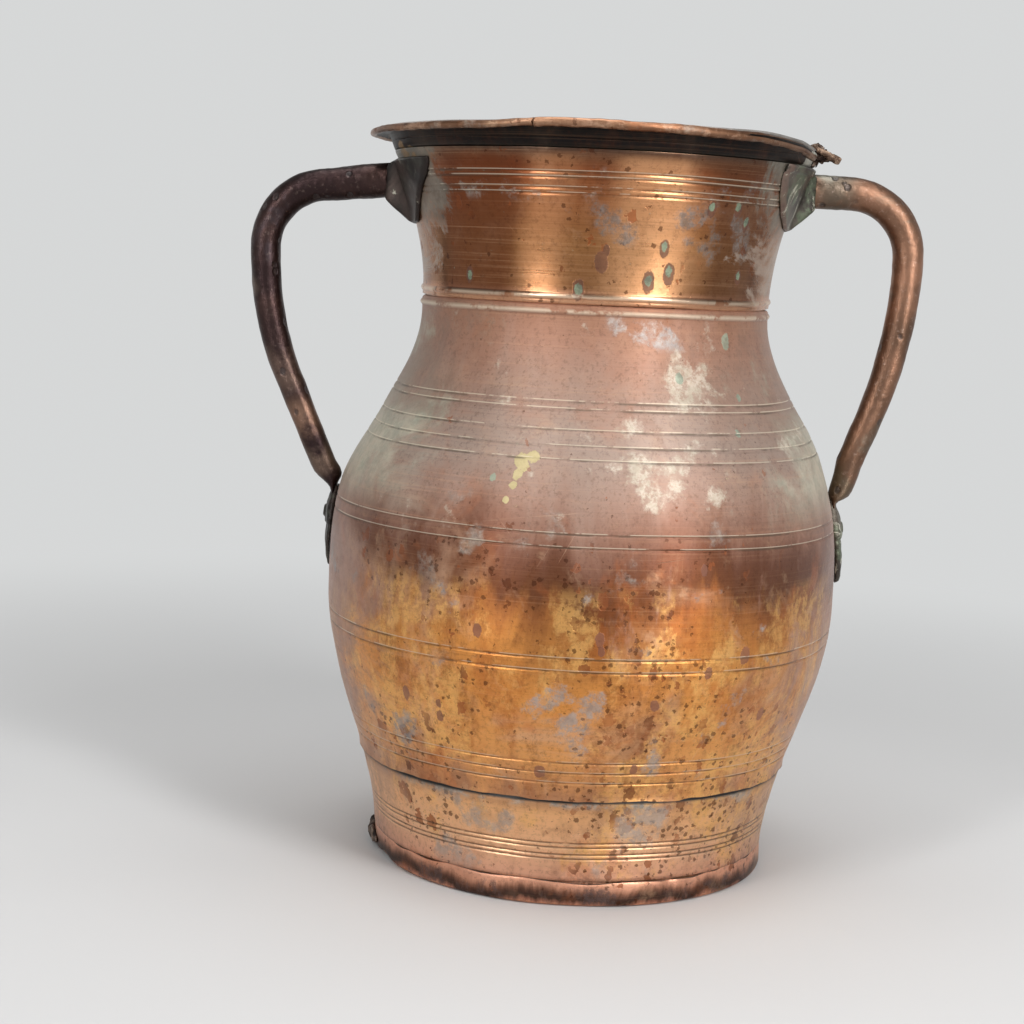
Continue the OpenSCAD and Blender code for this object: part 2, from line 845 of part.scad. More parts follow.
module strap_rivets() {
    low = lid_height - seat_gap;
    high = lid_top + strap_sheet + 2 * seat_gap;
    color("#5a4a3c")
        for (side = [-1, 1])
            translate([strap_rivet_reach, side * strap_rivet_side, 0]) {
                translate([0, 0, low - small_head_height])
                    cylinder(h = small_head_height, r1 = 0.7 * small_head_radius,
                        r2 = small_head_radius);
                translate([0, 0, low])
                    cylinder(h = high - low, r = small_rivet_radius);
                translate([0, 0, high])
                    cylinder(h = small_head_height, r1 = small_head_radius,
                        r2 = 0.7 * small_head_radius);
            }
}

module lid_knob() {
    color("#9a6a48")
        difference() {
            rotate_extrude()
                polygon([[0, knob_base], [knob_foot, knob_base],
                    [knob_foot, knob_base + 0.12 * knob_rise],
                    [knob_stem, knob_base + 0.25 * knob_rise],
                    [knob_stem, knob_base + 0.39 * knob_rise],
                    [knob_radius, knob_base + 0.58 * knob_rise],
                    [knob_radius, knob_base + 0.72 * knob_rise],
                    [0.66 * knob_radius, knob_base + 0.95 * knob_rise], [0, knob_top]]);
            translate([0, 0, knob_base - seat_gap])
                cylinder(h = knob_hole + seat_gap, r = rivet_radius + rivet_gap);
        }
}

module knob_rivet() {
    under = dome(0) - lid_sheet - seat_gap;
    color("#7a6a58") {
        translate([0, 0, under - head_height])
            cylinder(h = head_height, r1 = 0.7 * head_radius, r2 = head_radius);
        translate([0, 0, under])
            cylinder(h = knob_base + knob_hole - head_gap - under, r = rivet_radius);
    }
}

bottom_plate();
base_shell();
belly_shell();
neck_shell();
collar_brim();
rim_wire();
foot_fragment();
left_upper_socket();
right_upper_socket();
left_socket_rivets();
right_socket_rivets();
left_handle();
right_handle();
left_palmette();
right_palmette();
left_palmette_rivet();
right_palmette_rivet();
rim_hinge_leaf();
leaf_rivets();
hinge_pin();
lid_disc();
lid_hinge_strap();
strap_rivets();
lid_knob();
knob_rivet();
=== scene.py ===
import math

import bpy
import numpy as np
from mathutils import Matrix, Vector


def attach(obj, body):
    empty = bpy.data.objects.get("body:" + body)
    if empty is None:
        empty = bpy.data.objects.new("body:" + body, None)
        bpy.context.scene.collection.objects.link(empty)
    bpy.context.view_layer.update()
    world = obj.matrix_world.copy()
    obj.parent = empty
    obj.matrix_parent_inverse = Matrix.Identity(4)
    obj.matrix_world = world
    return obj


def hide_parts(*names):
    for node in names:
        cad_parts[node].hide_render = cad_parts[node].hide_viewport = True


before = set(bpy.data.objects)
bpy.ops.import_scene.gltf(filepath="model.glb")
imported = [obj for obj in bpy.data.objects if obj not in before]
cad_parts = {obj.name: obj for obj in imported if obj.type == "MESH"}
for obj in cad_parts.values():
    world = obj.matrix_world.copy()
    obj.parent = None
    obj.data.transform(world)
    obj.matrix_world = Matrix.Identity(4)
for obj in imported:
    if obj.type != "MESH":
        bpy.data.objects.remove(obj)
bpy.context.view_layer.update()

MM = 0.001


def full_turn(count):
    """Angles evenly round a circle."""
    return np.linspace(0, 2 * np.pi, count, endpoint=False)


def clipped(value):
    """The value, kept between 0 and 1."""
    return np.clip(value, 0, 1)


# Sizes of the jar in millimetres, as in the part's source
full_height = 400
foot_radius = 107.8
foot_rise = 5.0
belly_radius = 138.6
belly_low = 145.0
belly_high = 165.0
neck_radius = 94.1
neck_low = 300.0
neck_high = 312.0
flare_spread = 20.7
brim_height = 389.4
shoulder_power = 1.25
flare_power = 1.625
wall = 1.6
lap_gap = 0.2
tuck = wall + lap_gap
joggle = 2.5
tight_joggle = 0.8
heel_height = 13.0
seam_height = 58.5
neck_joint_height = 305.5
lip_height = 381.5
lap_length = 6.0
line_depth = 0.55
line_width = 1.7
line_heights = [25.4, 27.8, 31.6, 34.0, 67.9, 73.5, 79.2, 128.0, 134.5, 189.0, 195.5,
                230.2, 236.8, 244.3, 254.2, 257.8, 359.8, 362.6, 367.6, 370.2]
bead_heights = [302.0, 309.6, 380.2]
bead_rise = 1.0
bead_half = 1.8
lip_rise = 0.15
lip_low = 378.0
brim_offset = 5.0
roll_circle = 117.8
notch_half = 26.0
notch_floor = 386.2
round_segments = 288
all_round = full_turn(round_segments)
nowhere = 10000.0


# Shape of the wall

def body_radius(z):
    """Outer radius of the jar at height z, without lines, beads and laps."""
    z = np.asarray(z, float)
    rise = clipped((z - foot_rise) / (belly_low - foot_rise))
    lower = foot_radius + (belly_radius - foot_radius) * (1 - np.cos(np.pi * rise)) / 2
    fall = clipped((z - belly_high) / (neck_low - belly_high)) ** shoulder_power
    upper = neck_radius + (belly_radius - neck_radius) * (1 + np.cos(np.pi * fall)) / 2
    flare = np.clip((z - neck_high) / (brim_height - neck_high), 0, None) ** flare_power
    return np.where(z < belly_high, lower, upper + flare_spread * flare)


def tucked(z, top, bottom):
    """How far a sheet draws in to pass inside its neighbours."""
    above = clipped((z - top + joggle) / joggle)
    below = clipped((bottom + tight_joggle - z) / tight_joggle)
    return tuck * np.maximum(above, below)


def line_share(z):
    """1 in the middle of a turned line, 0 away from all of them."""
    away = np.min([np.abs(z - h) for h in line_heights], axis=0)
    return clipped(1 - away / (line_width / 2))


def bead_share(z):
    """1 on the crown of a bead, 0 away from all of them."""
    away = np.min([np.abs(z - h) for h in bead_heights], axis=0)
    return np.where(away < bead_half, np.cos(np.pi / 2 * away / bead_half), 0)


def side_shift(z):
    """Sideways sag of the hand-worked shoulder, towards +X."""
    heights = [0, 15, 53, 84, 112, 150, 206, 216, 229, 241, 252, 266, 286, 302, 400]
    shifts = [-0.2, -0.8, -0.7, -1.0, -0.3, 0, -0.2, 0.6, 2.1, 2.5, 1.8, 1.3, 0.7, 0.1, 0]
    return np.interp(z, heights, shifts)


def waves(points, size, seed, count=12):
    """Smooth lumps of about the given size, between about -1 and 1."""
    chance = np.random.default_rng(seed)
    total = np.zeros(points.shape[:-1])
    for _ in range(count):
        direction = chance.normal(size=3)
        direction *= chance.uniform(0.6, 1.4) / np.linalg.norm(direction)
        total += np.sin(points @ direction * 2 * np.pi / size + chance.uniform(0, 2 * np.pi))
    return total / math.sqrt(count)


def uneven(points, *terms):
    """Sum of waves, each given as its depth, size and seed."""
    return sum(depth * waves(points, size, seed) for depth, size, seed in terms)


# Knocks in the wall: angle in degrees, height, half size and depth in millimetres
knocks = [(-120, 215, 22, 0.9), (-60, 100, 18, 0.8), (-95, 160, 30, 0.6), (-40, 250, 16, 0.7),
          (150, 120, 25, 0.9), (80, 210, 20, 0.8), (30, 90, 18, 0.7), (110, 330, 16, 0.6),
          (-150, 280, 18, 0.6), (-80, 45, 16, 0.6), (60, 40, 20, 0.9), (-20, 130, 16, 0.6),
          (0, 185, 18, 2.9), (180, 188, 18, 1.4)]


def dent(z, angle):
    """Small unevenness of the beaten wall, added to the radius."""
    z, angle = np.broadcast_arrays(z, angle)
    radius = body_radius(z)
    points = around(radius, angle, z)
    calm = np.interp(z, [0, 8, 25, 325, 342, 400], [0.3, 0.6, 1, 1, 0.25, 0.15])
    total = uneven(points, (0.22, 95, 3), (0.12, 34, 5), (0.045, 20, 6))
    for degrees, height, size, depth in knocks:
        turn = (angle - math.radians(degrees) + np.pi) % (2 * np.pi) - np.pi
        reach = (turn * radius / size) ** 2 + ((z - height) / size) ** 2
        total = total - depth * np.exp(-reach)
    return total * calm + side_shift(z) * np.cos(angle)


# Meshes

def loft(name, points, wrap_rows=False, wrap_columns=True, caps=False, row_slots=None):
    """Object from a grid of points in millimetres: rows by columns by xyz."""
    rows, columns = points.shape[:2]
    index = np.arange(rows * columns).reshape(rows, columns)
    down = np.roll(index, -1, axis=0)
    if not wrap_rows:
        index, down = index[:-1], down[:-1]
    if wrap_columns:
        quads = [index, np.roll(index, -1, axis=1), np.roll(down, -1, axis=1), down]
    else:
        quads = [index[:, :-1], index[:, 1:], down[:, 1:], down[:, :-1]]
    quads = np.stack(quads, axis=-1)
    faces = quads.reshape(-1, 4).tolist()
    slots = np.zeros(len(faces), int)
    if row_slots is not None:
        slots = np.repeat(np.asarray(row_slots)[:quads.shape[0]], quads.shape[1])
    slots = slots.tolist()
    if caps:
        grid = np.arange(rows * columns).reshape(rows, columns)
        ends = [grid[0][::-1], grid[-1]] if wrap_columns else [grid[:, 0], grid[::-1, -1]]
        for end in ends:
            faces.append(end.tolist())
            slots.append(slots[-1])
    mesh = bpy.data.meshes.new(name)
    mesh.from_pydata((points.reshape(-1, 3) * MM).tolist(), [], faces)
    mesh.polygons.foreach_set("material_index", slots)
    mesh.polygons.foreach_set("use_smooth", [True] * len(faces))
    mesh.update()
    made = bpy.data.objects.new(name, mesh)
    bpy.context.scene.collection.objects.link(made)
    return made


def join(name, objects):
    """One object from several, with the slots of the first."""
    with bpy.context.temp_override(active_object=objects[0], object=objects[0],
                                   selected_editable_objects=objects):
        bpy.ops.object.join()
    objects[0].name = name
    return objects[0]


def paint(piece, name, values):
    """Keeps one number for each point of a mesh, for its material."""
    layer = piece.data.attributes.new(name, "FLOAT", "POINT")
    layer.data.foreach_set("value", np.asarray(values, np.float32).ravel())


def settle(piece, materials, nodes, body="jar"):
    """Gives a piece its materials, its body and the nodes that it stands for."""
    for material in materials:
        piece.data.materials.append(material)
    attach(piece, body)
    if nodes:
        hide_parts(*nodes)
    return piece


def xyz(x, y, z):
    """Points from their parts, spread over one grid."""
    return np.stack(np.broadcast_arrays(x, y, z), axis=-1)


def around(radii, angles, heights):
    """Points round the jar's axis."""
    return xyz(radii * np.cos(angles), radii * np.sin(angles), heights)


def circle(radius):
    """One ring of points at height 0, to shape an edge by."""
    return around(np.full((1, round_segments), radius), all_round, 0.0)


def rows_between(low, high, top=nowhere, bottom=-nowhere):
    """Heights for a sheet's rows: close together at lines, beads and laps."""
    heights = set(np.linspace(low, high, max(3, int((high - low) / 3.2))).round(3))
    for h in line_heights:
        heights.update(h + line_width / 2 * s for s in (-1.5, -1, -0.5, 0, 0.5, 1, 1.5))
    for h in bead_heights:
        heights.update(h + bead_half * s for s in (-1.2, -1, -0.75, -0.5, -0.25, 0,
                                                   0.25, 0.5, 0.75, 1, 1.2))
    heights.update([top - joggle, top - joggle / 2, top, bottom, bottom + tight_joggle,
                    low + 0.25, high - 1.4, high - 0.9, high - 0.5, high - 0.25])
    inside = sorted(h for h in heights if low <= h <= high)
    kept = [inside[0]]
    for h in inside[1:-1]:
        if h - kept[-1] > 0.2:
            kept.append(h)
    return np.array(kept + [inside[-1]])


def sheet(name, low, high, top=nowhere, bottom=-nowhere, edge_lift=0.0, bevel=0.0):
    """Turned sheet with its thickness, lines and beads.

    Its lower edge may lift off, and its upper edge may be filed round."""
    outer_z = rows_between(low, high, top, bottom)
    inner_z = np.linspace(high, low, max(3, int((high - low) / 7)))
    angle = all_round[None, :]
    ring = circle(120.0)
    ragged = np.clip(0.55 + 0.45 * waves(ring, 26, 11), 0.1, 2)

    def radius(z, inside):
        z = z[:, None]
        drawn_in = tucked(z, top, bottom)
        shown = 1 - drawn_in / tuck
        rise = np.where(z > lip_low, lip_rise, bead_rise)
        turned = (rise * bead_share(z) - line_depth * line_share(z)) * shown
        lift = edge_lift * clipped(1 - (z - low) / 3.0) ** 2
        filed = bevel * clipped((z - high + 1.4) / 1.4) ** 2
        return (body_radius(z) - drawn_in + dent(z, angle) + lift * ragged
                + (-wall if inside else turned - filed))

    radii = np.vstack([radius(outer_z, False), radius(inner_z, True)])
    heights = np.concatenate([outer_z, inner_z])
    points = around(radii, all_round, heights[:, None])
    sway = 0.35 * waves(circle(100.0), 120, 17)
    freedom = clipped(np.minimum(heights - low, high - heights) / 6)
    points[..., 2] += sway * freedom[:, None]
    if edge_lift:
        hanging = clipped(1 - (heights - low) / 4)[:, None]
        points[..., 2] -= hanging * (0.5 + 0.45 * waves(ring, 34, 12)
                                     + 0.2 * waves(ring, 11, 13))
    slots = [0] * (len(outer_z) - 1) + [1] * (len(inner_z) + 1)
    made = loft(name, points, wrap_rows=True, row_slots=slots)
    outside = np.arange(len(heights)) < len(outer_z)
    groove = np.where(outside, line_share(heights), 0)
    above = np.min([np.abs(heights - h - line_width / 2) for h in line_heights], axis=0)
    scuff = clipped(1 - above / 0.4)
    bright_bead = 0.8 * bead_share(heights) * (heights < lip_low)
    ridge = np.where(outside, np.maximum(scuff, bright_bead), 0)
    # Crevice shade: painted black along the belly's lifted lower edge and on the base just under
    # the belly's overlap, where shade falls in the seam.
    edge = np.where(outside & (heights > low + 0.1), 0, 1) if edge_lift else 0 * heights
    seam_shadow = clipped(1.6 - np.abs(heights - top + 0.9) / 1.1)
    edge = np.maximum(edge, seam_shadow * outside)
    for layer, values in (("groove", groove), ("ridge", ridge), ("crevice_shade", edge)):
        paint(made, layer, np.repeat(values, round_segments))
    return made


# Materials

def srgb(*percents):
    """Linear colour of a colour as it looks on a screen, given in hundredths."""
    return tuple(c / 12.92 if c <= 0.04045 else ((c + 0.055) / 1.055) ** 2.4
                 for c in (percent / 100 for percent in percents)) + (1.0,)


class Value:
    """A number, colour or place that a node gives, to be reckoned with by plain signs."""

    def __init__(self, shader, socket):
        self.shader = shader
        self.socket = socket

    def __add__(self, other):
        return self.shader.calc("ADD", self, other)

    def __radd__(self, other):
        return self.shader.calc("ADD", other, self)

    def __sub__(self, other):
        return self.shader.calc("SUBTRACT", self, other)

    def __rsub__(self, other):
        return self.shader.calc("SUBTRACT", other, self)

    def __mul__(self, other):
        return self.shader.calc("MULTIPLY", self, other)

    def __rmul__(self, other):
        return self.shader.calc("MULTIPLY", other, self)

    def __pow__(self, other):
        return self.shader.calc("POWER", self, other)

    def held(self):
        """The same number, kept between 0 and 1."""
        self.socket.node.use_clamp = True
        return self


class Shader:
    """A material's node tree, with a short call for each kind of node."""

    def __init__(self, name):
        self.material = bpy.data.materials.new(name)
        self.material.use_nodes = True
        self.tree = self.material.node_tree
        self.tree.nodes.clear()
        self.output = self.make("OutputMaterial", {})
        self.surface = self.make("BsdfPrincipled", {})
        self.tree.links.new(self.surface.outputs[0], self.output.inputs[0])
        self.position = self.give("TexCoord", {}, "Object")
        parts = self.make("SeparateXYZ", {"Vector": self.position}).outputs
        self.x = Value(self, parts["X"])
        self.z = Value(self, parts["Z"])

    def make(self, kind, values, **settings):
        node = self.tree.nodes.new("ShaderNode" + kind)
        for key, value in settings.items():
            setattr(node, key, value)
        self.fill(node, values)
        return node

    def fill(self, node, values):
        for key, value in values.items():
            if isinstance(value, Value):
                self.tree.links.new(value.socket, node.inputs[key])
            else:
                node.inputs[key].default_value = value

    def give(self, kind, values, output=0, **settings):
        """What a new node gives."""
        return Value(self, self.make(kind, values, **settings).outputs[output])

    def calc(self, operation, a, b=0.0):
        return self.give("Math", {0: a, 1: b}, operation=operation)

    def most(self, a, b):
        return self.calc("MAXIMUM", a, b)

    def vector(self, operation, place, other, output=0):
        key = "Scale" if operation == "SCALE" else 1
        return self.give("VectorMath", {0: place, key: other}, output,
                         operation=operation)

    def length(self, place):
        return self.give("VectorMath", {0: place}, "Value", operation="LENGTH")

    def stretched(self, x, y, z):
        return self.vector("MULTIPLY", self.position, (x, y, z))

    def noise(self, scale, detail=4.0, roughness=0.55, distortion=0.0, vector=None):
        return self.give("TexNoise", {
            "Vector": vector or self.position, "Scale": scale, "Detail": detail,
            "Roughness": roughness, "Distortion": distortion}, "Fac")

    def streaks(self, scales, detail=4.0, roughness=0.55, distortion=0.0):
        """Noise with a scale of its own along each axis."""
        return self.noise(1, detail, roughness, distortion, self.stretched(*scales))

    def patches(self, low, high, *noise):
        """Noise turned into patches: 0 at low, 1 at high."""
        return self.steps(self.noise(*noise), low, high)

    def cells(self, scale, vector):
        """Distance to the nearest of scattered places, and a chance value of that place."""
        node = self.make("TexVoronoi", {"Vector": vector, "Scale": scale})
        pick = self.give("SeparateColor", {0: Value(self, node.outputs["Color"])})
        return Value(self, node.outputs["Distance"]), pick

    def wobbled(self, scale, bend, vector):
        """Place with its outline shaken, so that round cells turn ragged."""
        shaken = self.give("TexNoise", {"Vector": self.position, "Scale": scale,
                                                  "Detail": 3.0}, "Color")
        shaken = self.vector("SUBTRACT", shaken, (0.5, 0.5, 0.5))
        return self.vector("ADD", vector, self.vector("SCALE", shaken, bend))

    def speckle(self, scale, share, crowd, size, tall=0.7):
        """Ragged spots; share is the part of the places that hold one, size its reach."""
        place = self.wobbled(scale * 2.4, 0.9 / scale, self.stretched(1, 1, tall))
        away, pick = self.cells(scale, place)
        chance = pick + crowd * share - 1.0
        reach = size * 0.4 + chance * (size * 1.6 / share)
        return self.steps(away - reach, 0.05, 0.0) * self.steps(chance, 0.0, 0.02)

    def scratches(self, angle, level):
        """Straight fine scratches that lie at an angle, in degrees, on the front."""
        turned = self.give("VectorRotate", {
            "Vector": self.position, "Angle": math.radians(angle)}, rotation_type="Y_AXIS")
        long = self.vector("MULTIPLY", turned, (12, 12, 700))
        return self.steps(self.noise(1, 2, 0.5, vector=long), level, level + 0.03)

    def steps(self, value, low, high):
        """0 at low, 1 at high, with a smooth turn between them."""
        return self.give("MapRange", {"Value": value, "From Min": low,
                                                "From Max": high},
                         interpolation_type="SMOOTHSTEP")

    def between(self, value, low, high, soft):
        """1 from low to high, with soft ends."""
        rise = self.steps(value, low - soft, low + soft)
        return (rise - self.steps(value, high - soft, high + soft)).held()

    def ramp(self, value, stops):
        node = self.make("ValToRGB", {0: value})
        marks = node.color_ramp.elements
        while len(marks) < len(stops):
            marks.new(0.5)
        for mark, (place, tone) in zip(marks, stops):
            mark.position = place
            mark.color = srgb(*tone)
        return Value(self, node.outputs[0])

    def mix(self, factor, a, b):
        return self.give("Mix", {"Factor": factor, 6: a, 7: b}, 2,
                         data_type="RGBA")

    def tint(self, colour, mask, tone):
        """A colour with a tone laid over it where the mask is 1."""
        return self.mix(mask, colour, srgb(*tone))

    def blend(self, factor, a, b):
        return self.give("Mix", {"Factor": factor, 2: a, 3: b}, data_type="FLOAT")

    def near(self, places, tall=1.0):
        """1 at places on the front, given as x, height and size in millimetres, to 0 away."""
        nearest = None
        for x, z, size in places:
            y = -math.sqrt(float(body_radius(z)) ** 2 - x ** 2)
            apart = self.vector("SUBTRACT", self.position, (x * MM, y * MM, z * MM))
            apart = self.length(self.vector("MULTIPLY", apart, (
                1 / size / MM, 1 / size / MM, tall / size / MM)))
            nearest = self.calc("MINIMUM", nearest, apart) if nearest else apart
        return self.steps(nearest, 1.7, 0.2)

    def kept(self, name):
        """A number painted on the mesh's points."""
        return self.give("Attribute", {}, "Fac", attribute_name=name)

    def turned(self, amount):
        """Highlights drawn out up and down, as on metal brushed on a lathe."""
        tangent = self.give("Tangent", {}, direction_type="RADIAL", axis="Z")
        self.fill(self.surface, {"Tangent": tangent, "Anisotropic": amount,
                                 "Anisotropic Rotation": 0.25})

    def coat(self, colour, metal, rough, height, depth=0.0006, strength=0.7):
        bump = self.give("Bump", {"Height": height, "Distance": depth,
                                            "Strength": strength})
        self.fill(self.surface, {"Base Color": colour, "Metallic": metal,
                                 "Roughness": rough, "Normal": bump})
        return self.material


# Clouds of tarnish: scale of the noise, its level, their share and tone
clouds = [(15, 0.50, 0.7, (84, 68, 56)), (11, 0.52, 0.6, (42, 25, 17)),
          (34, 0.54, 0.6, (76, 44, 25)), (52, 0.55, 0.5, (84, 69, 55)),
          (90, 0.56, 0.45, (40, 24, 17))]
pit_brown = (30, 17, 11)


def old_copper(name, tones, gloss=0.34, spots=0.5, brushed=0.5, uneven=0.0, dust=0.0,
               lined=True, pale_lines=0.5, dark_lines=0.68, mottle=0.5, dull_above=None,
               spots_below=None, shades=(), layers=()):
    """Worn copper: tones by height, brushed rings, brown spots, layers of patina and painted
    shadow in the seams.

    Each layer is (mask maker, colour, second colour, cover, roughness), and each shade,
    which stays bright metal, (mask maker, colour, cover). Some shades and layers are painted
    reflection and shade."""
    s = Shader(name)
    height = s.z
    if uneven:
        height = s.z + (s.streaks((24, 24, 5), 6, 0.68, 0.5) - 0.5) * (uneven * MM * 3)
    colour = s.ramp(height * (1 / full_height / MM),
                    [(place / full_height, tone) for place, *tone in tones])

    calm = 1.0
    if dull_above:
        matte = s.steps(height, dull_above * MM, (dull_above + 26) * MM)
        bright = s.steps(height, (dull_above + 26) * MM, dull_above * MM)
        calm = 0.35 + 0.65 * bright
    for scale, level, share, tone in clouds:
        cloud = s.patches(level, level + 0.2, scale, 4, 0.66, 0.7) * calm
        colour = s.tint(colour, cloud * (share * mottle), tone)
    # The neck's shades are painted reflection columns.
    for mask_maker, tone, cover in shades:
        colour = s.tint(colour, (mask_maker(s) * cover).held(), tone)
    smear = s.streaks((60, 60, 11), 5, 0.62)
    colour = s.tint(colour, s.steps(smear, 0.52, 0.72) * 0.25, (40, 23, 15))
    rings = s.streaks((7, 7, 1100), 4, 0.7)
    ring_share = brushed * 0.35
    colour = s.tint(colour, s.steps(rings, 0.5, 0.78) * ring_share, (92, 72, 56))
    colour = s.tint(colour, s.steps(rings, 0.48, 0.25) * ring_share, pit_brown)
    grain = s.noise(420, 3, 0.8)
    colour = s.tint(colour, s.steps(grain, 0.48, 0.72) * 0.32, (28, 16, 11))

    crowd = s.patches(0.34, 0.6, 10, 4, 0.6)
    if spots_below:
        low_down = s.steps(height, (spots_below + 20) * MM, (spots_below - 10) * MM)
        crowd = crowd * (0.25 + low_down * 0.75)
    on_spot = s.most(s.speckle(78, 0.38 * spots, crowd, 0.17),
                     s.speckle(150, 0.50 * spots, crowd, 0.24))
    faint = 0.38 + s.patches(0.4, 0.62, 55, 2) * 0.36
    brown = s.mix(s.patches(0.35, 0.65, 40, 2), srgb(36, 20, 13), srgb(60, 34, 20))
    colour = s.mix(on_spot * faint, colour, brown)
    on_speck = s.speckle(330, 0.45 * spots, crowd, 0.26, 1.0)
    colour = s.tint(colour, on_speck * 0.65, pit_brown)
    hair = s.most(s.scratches(62, 0.70), s.scratches(-51, 0.72))
    hair = s.most(hair, s.scratches(8, 0.71)) * s.patches(0.54, 0.66, 21, 3)
    colour = s.tint(colour, hair * 0.2, (86, 72, 60))

    crust = 0.0
    rough = (gloss - 0.05) + s.patches(0.35, 0.7, 16, 6) * 0.12
    if dull_above:
        rough = rough + matte * 0.14
    for mask_maker, first, second, cover, dull in layers:
        mask = (mask_maker(s) * cover).held()
        cloud = s.mix(s.patches(0.38, 0.62, 110, 7, 0.75), srgb(*first), srgb(*second))
        colour = s.mix(mask, colour, cloud)
        crust = s.most(crust, mask)
        rough = s.blend(mask, rough, dull)

    if lined:
        pale_level = 0.60 - 0.22 * pale_lines
        worn = s.patches(pale_level, pale_level + 0.06, 30, 5, 0.7)
        worn = (s.kept("ridge") ** 1.5 * worn).held()
        dark_level = 0.32 + 0.15 * pale_lines
        dark = s.patches(dark_level, dark_level + 0.14, 24, 5, 0.7)
        dark = (s.kept("groove") ** 1.6 * dark).held()
        colour = s.tint(colour, dark * dark_lines, (32, 28, 23))
        colour = s.tint(colour, worn * 0.72, (88, 83, 74))
        # Painted shadow, near black, in the seam crevices.
        seam_shadow = (s.kept("crevice_shade") * 1.2).held()
        colour = s.tint(colour, seam_shadow, (10, 9, 8))
        crust = s.most(crust, seam_shadow)

    metal = (1.0 - crust * 0.85).held()
    if dull_above:
        metal = metal * (1.0 - matte * 0.4)
    rough = rough + s.steps(rings, 0.4, 0.7) * 0.06
    rough = s.blend(on_spot * 0.7, rough, 0.6)
    relief = (rings * (0.12 * brushed) + grain * 0.14 + crust * 0.22 + on_spot * -0.16
              + hair * -0.2 + s.noise(60, 4) * 0.5)
    s.turned(0.8 * brushed)
    s.fill(s.surface, {"Sheen Weight": dust, "Sheen Roughness": 0.45})
    return s.coat(colour, metal, rough, relief)


def flakes(scale, level, low=0.0, high=full_height, soft=12.0, tall=1.0, places=(),
           gain=0.16):
    """Mask maker for ragged patches between two heights; a higher level leaves fewer.

    Patches gather at the places given as x, height and size on the front."""
    def mask(s):
        stretch = s.stretched(1, 1, tall)
        noise = s.noise(scale, 7, 0.68, 0.15, stretch)
        total = noise * 0.6 + s.noise(scale / 3.3, 3, vector=stretch) * 0.4
        close = [place for place in places if low <= place[1] <= high]
        if close:
            total = total + s.near(close, tall) * gain
        patch = s.steps(total, level - 0.01, level + 0.06) \
            * s.between(s.z, low * MM, high * MM, soft * MM)
        return patch * (0.25 + s.patches(0.38, 0.56, scale * 3.6, 4, 0.75) * 0.75)
    return mask


def drops(places, tall=0.62, edge=0.3):
    """Mask maker for drops and spots with a clean outline, placed one by one on the front."""
    def mask(s):
        uneven = (s.noise(170, 5, 0.75) - 0.5) * (edge * 1.8)
        return s.steps(s.near(places, tall) + uneven, 0.42, 0.60)
    return mask


def sides(start, full, low=0.0, high=full_height, soft=14.0):
    """Mask maker for the jar's flanks, from where they start to where they are full."""
    def mask(s):
        cloud = (s.noise(16, 9, 0.72, 0.8) - 0.5) * 0.16
        flank = s.steps(s.calc("ABSOLUTE", s.x) + cloud, start * MM, full * MM)
        return flank * s.between(s.z, low * MM, high * MM, soft * MM)
    return mask


def column(left, right, soft, low=0.0, high=full_height):
    """Mask maker for an upright band between two places along X, with wavering sides, for the
    neck's painted reflection columns.
    """
    def mask(s):
        waver = s.streaks((14, 14, 7), 4, 0.6, 0.4) - 0.5
        band = s.between(s.x + waver * 0.03, left * MM, right * MM, soft * MM)
        return band * s.between(s.z, low * MM, high * MM, 3 * MM)
    return mask


def dull_tin(name, light=(62, 62, 60), dark=(40, 38, 35), rough=0.5):
    """Old tinning: soft grey, with darker patches where the copper shows through."""
    s = Shader(name)
    cloud = s.noise(22, 7, 0.62, 0.5)
    colour = s.mix(s.steps(cloud, 0.35, 0.7), srgb(*light), srgb(*dark))
    bare = s.patches(0.60, 0.66, 34, 8, 0.7, 0.8)
    colour = s.tint(colour, bare * 0.7, (45, 32, 24))
    grain = s.noise(300, 4, 0.7)
    colour = s.tint(colour, s.steps(grain, 0.5, 0.8) * 0.4, (26, 24, 22))
    return s.coat(colour, s.blend(bare, 0.8, 0.95), rough + cloud * 0.2,
                  s.noise(90, 5) * 0.5 + grain * 0.25)


def dark_brass(name, light, dark, gloss=0.42, scuffs=0.4, rim=(50, 40, 36)):
    """Blackened cast metal of the handle mounts, with pale scuffs and an edge strip in the rim
    tone: bare copper on the right mount, a painted shadow line on the left.
    """
    s = Shader(name)
    cloud = s.noise(30, 6, 0.6, 0.6)
    colour = s.mix(s.steps(cloud, 0.38, 0.66), srgb(*dark), srgb(*light))
    colour = s.tint(colour, s.patches(0.52, 0.62, 45, 5, 0.65) * (0.5 * scuffs), (40, 44, 36))
    # Edge strip: bare copper on the right mount, a painted shadow line on the left one.
    bare = s.kept("rim") * s.patches(0.3, 0.5, 90, 3)
    colour = s.tint(colour, bare * 0.7, rim)
    scratch_level = 0.64 - 0.06 * scuffs
    scratch = s.steps(s.streaks((60, 90, 45), 7, 0.75, 1.4), scratch_level,
                      scratch_level + 0.06)
    colour = s.tint(colour, scratch * 0.8, (74, 73, 66))
    grain = s.noise(350, 4, 0.7)
    colour = s.tint(colour, s.steps(grain, 0.5, 0.8) * 0.35, (12, 10, 9))
    return s.coat(colour, s.blend(scratch, 0.75, 0.4), gloss + cloud * 0.2,
                  s.noise(60, 5) * 0.7 + grain * 0.2, 0.0009)


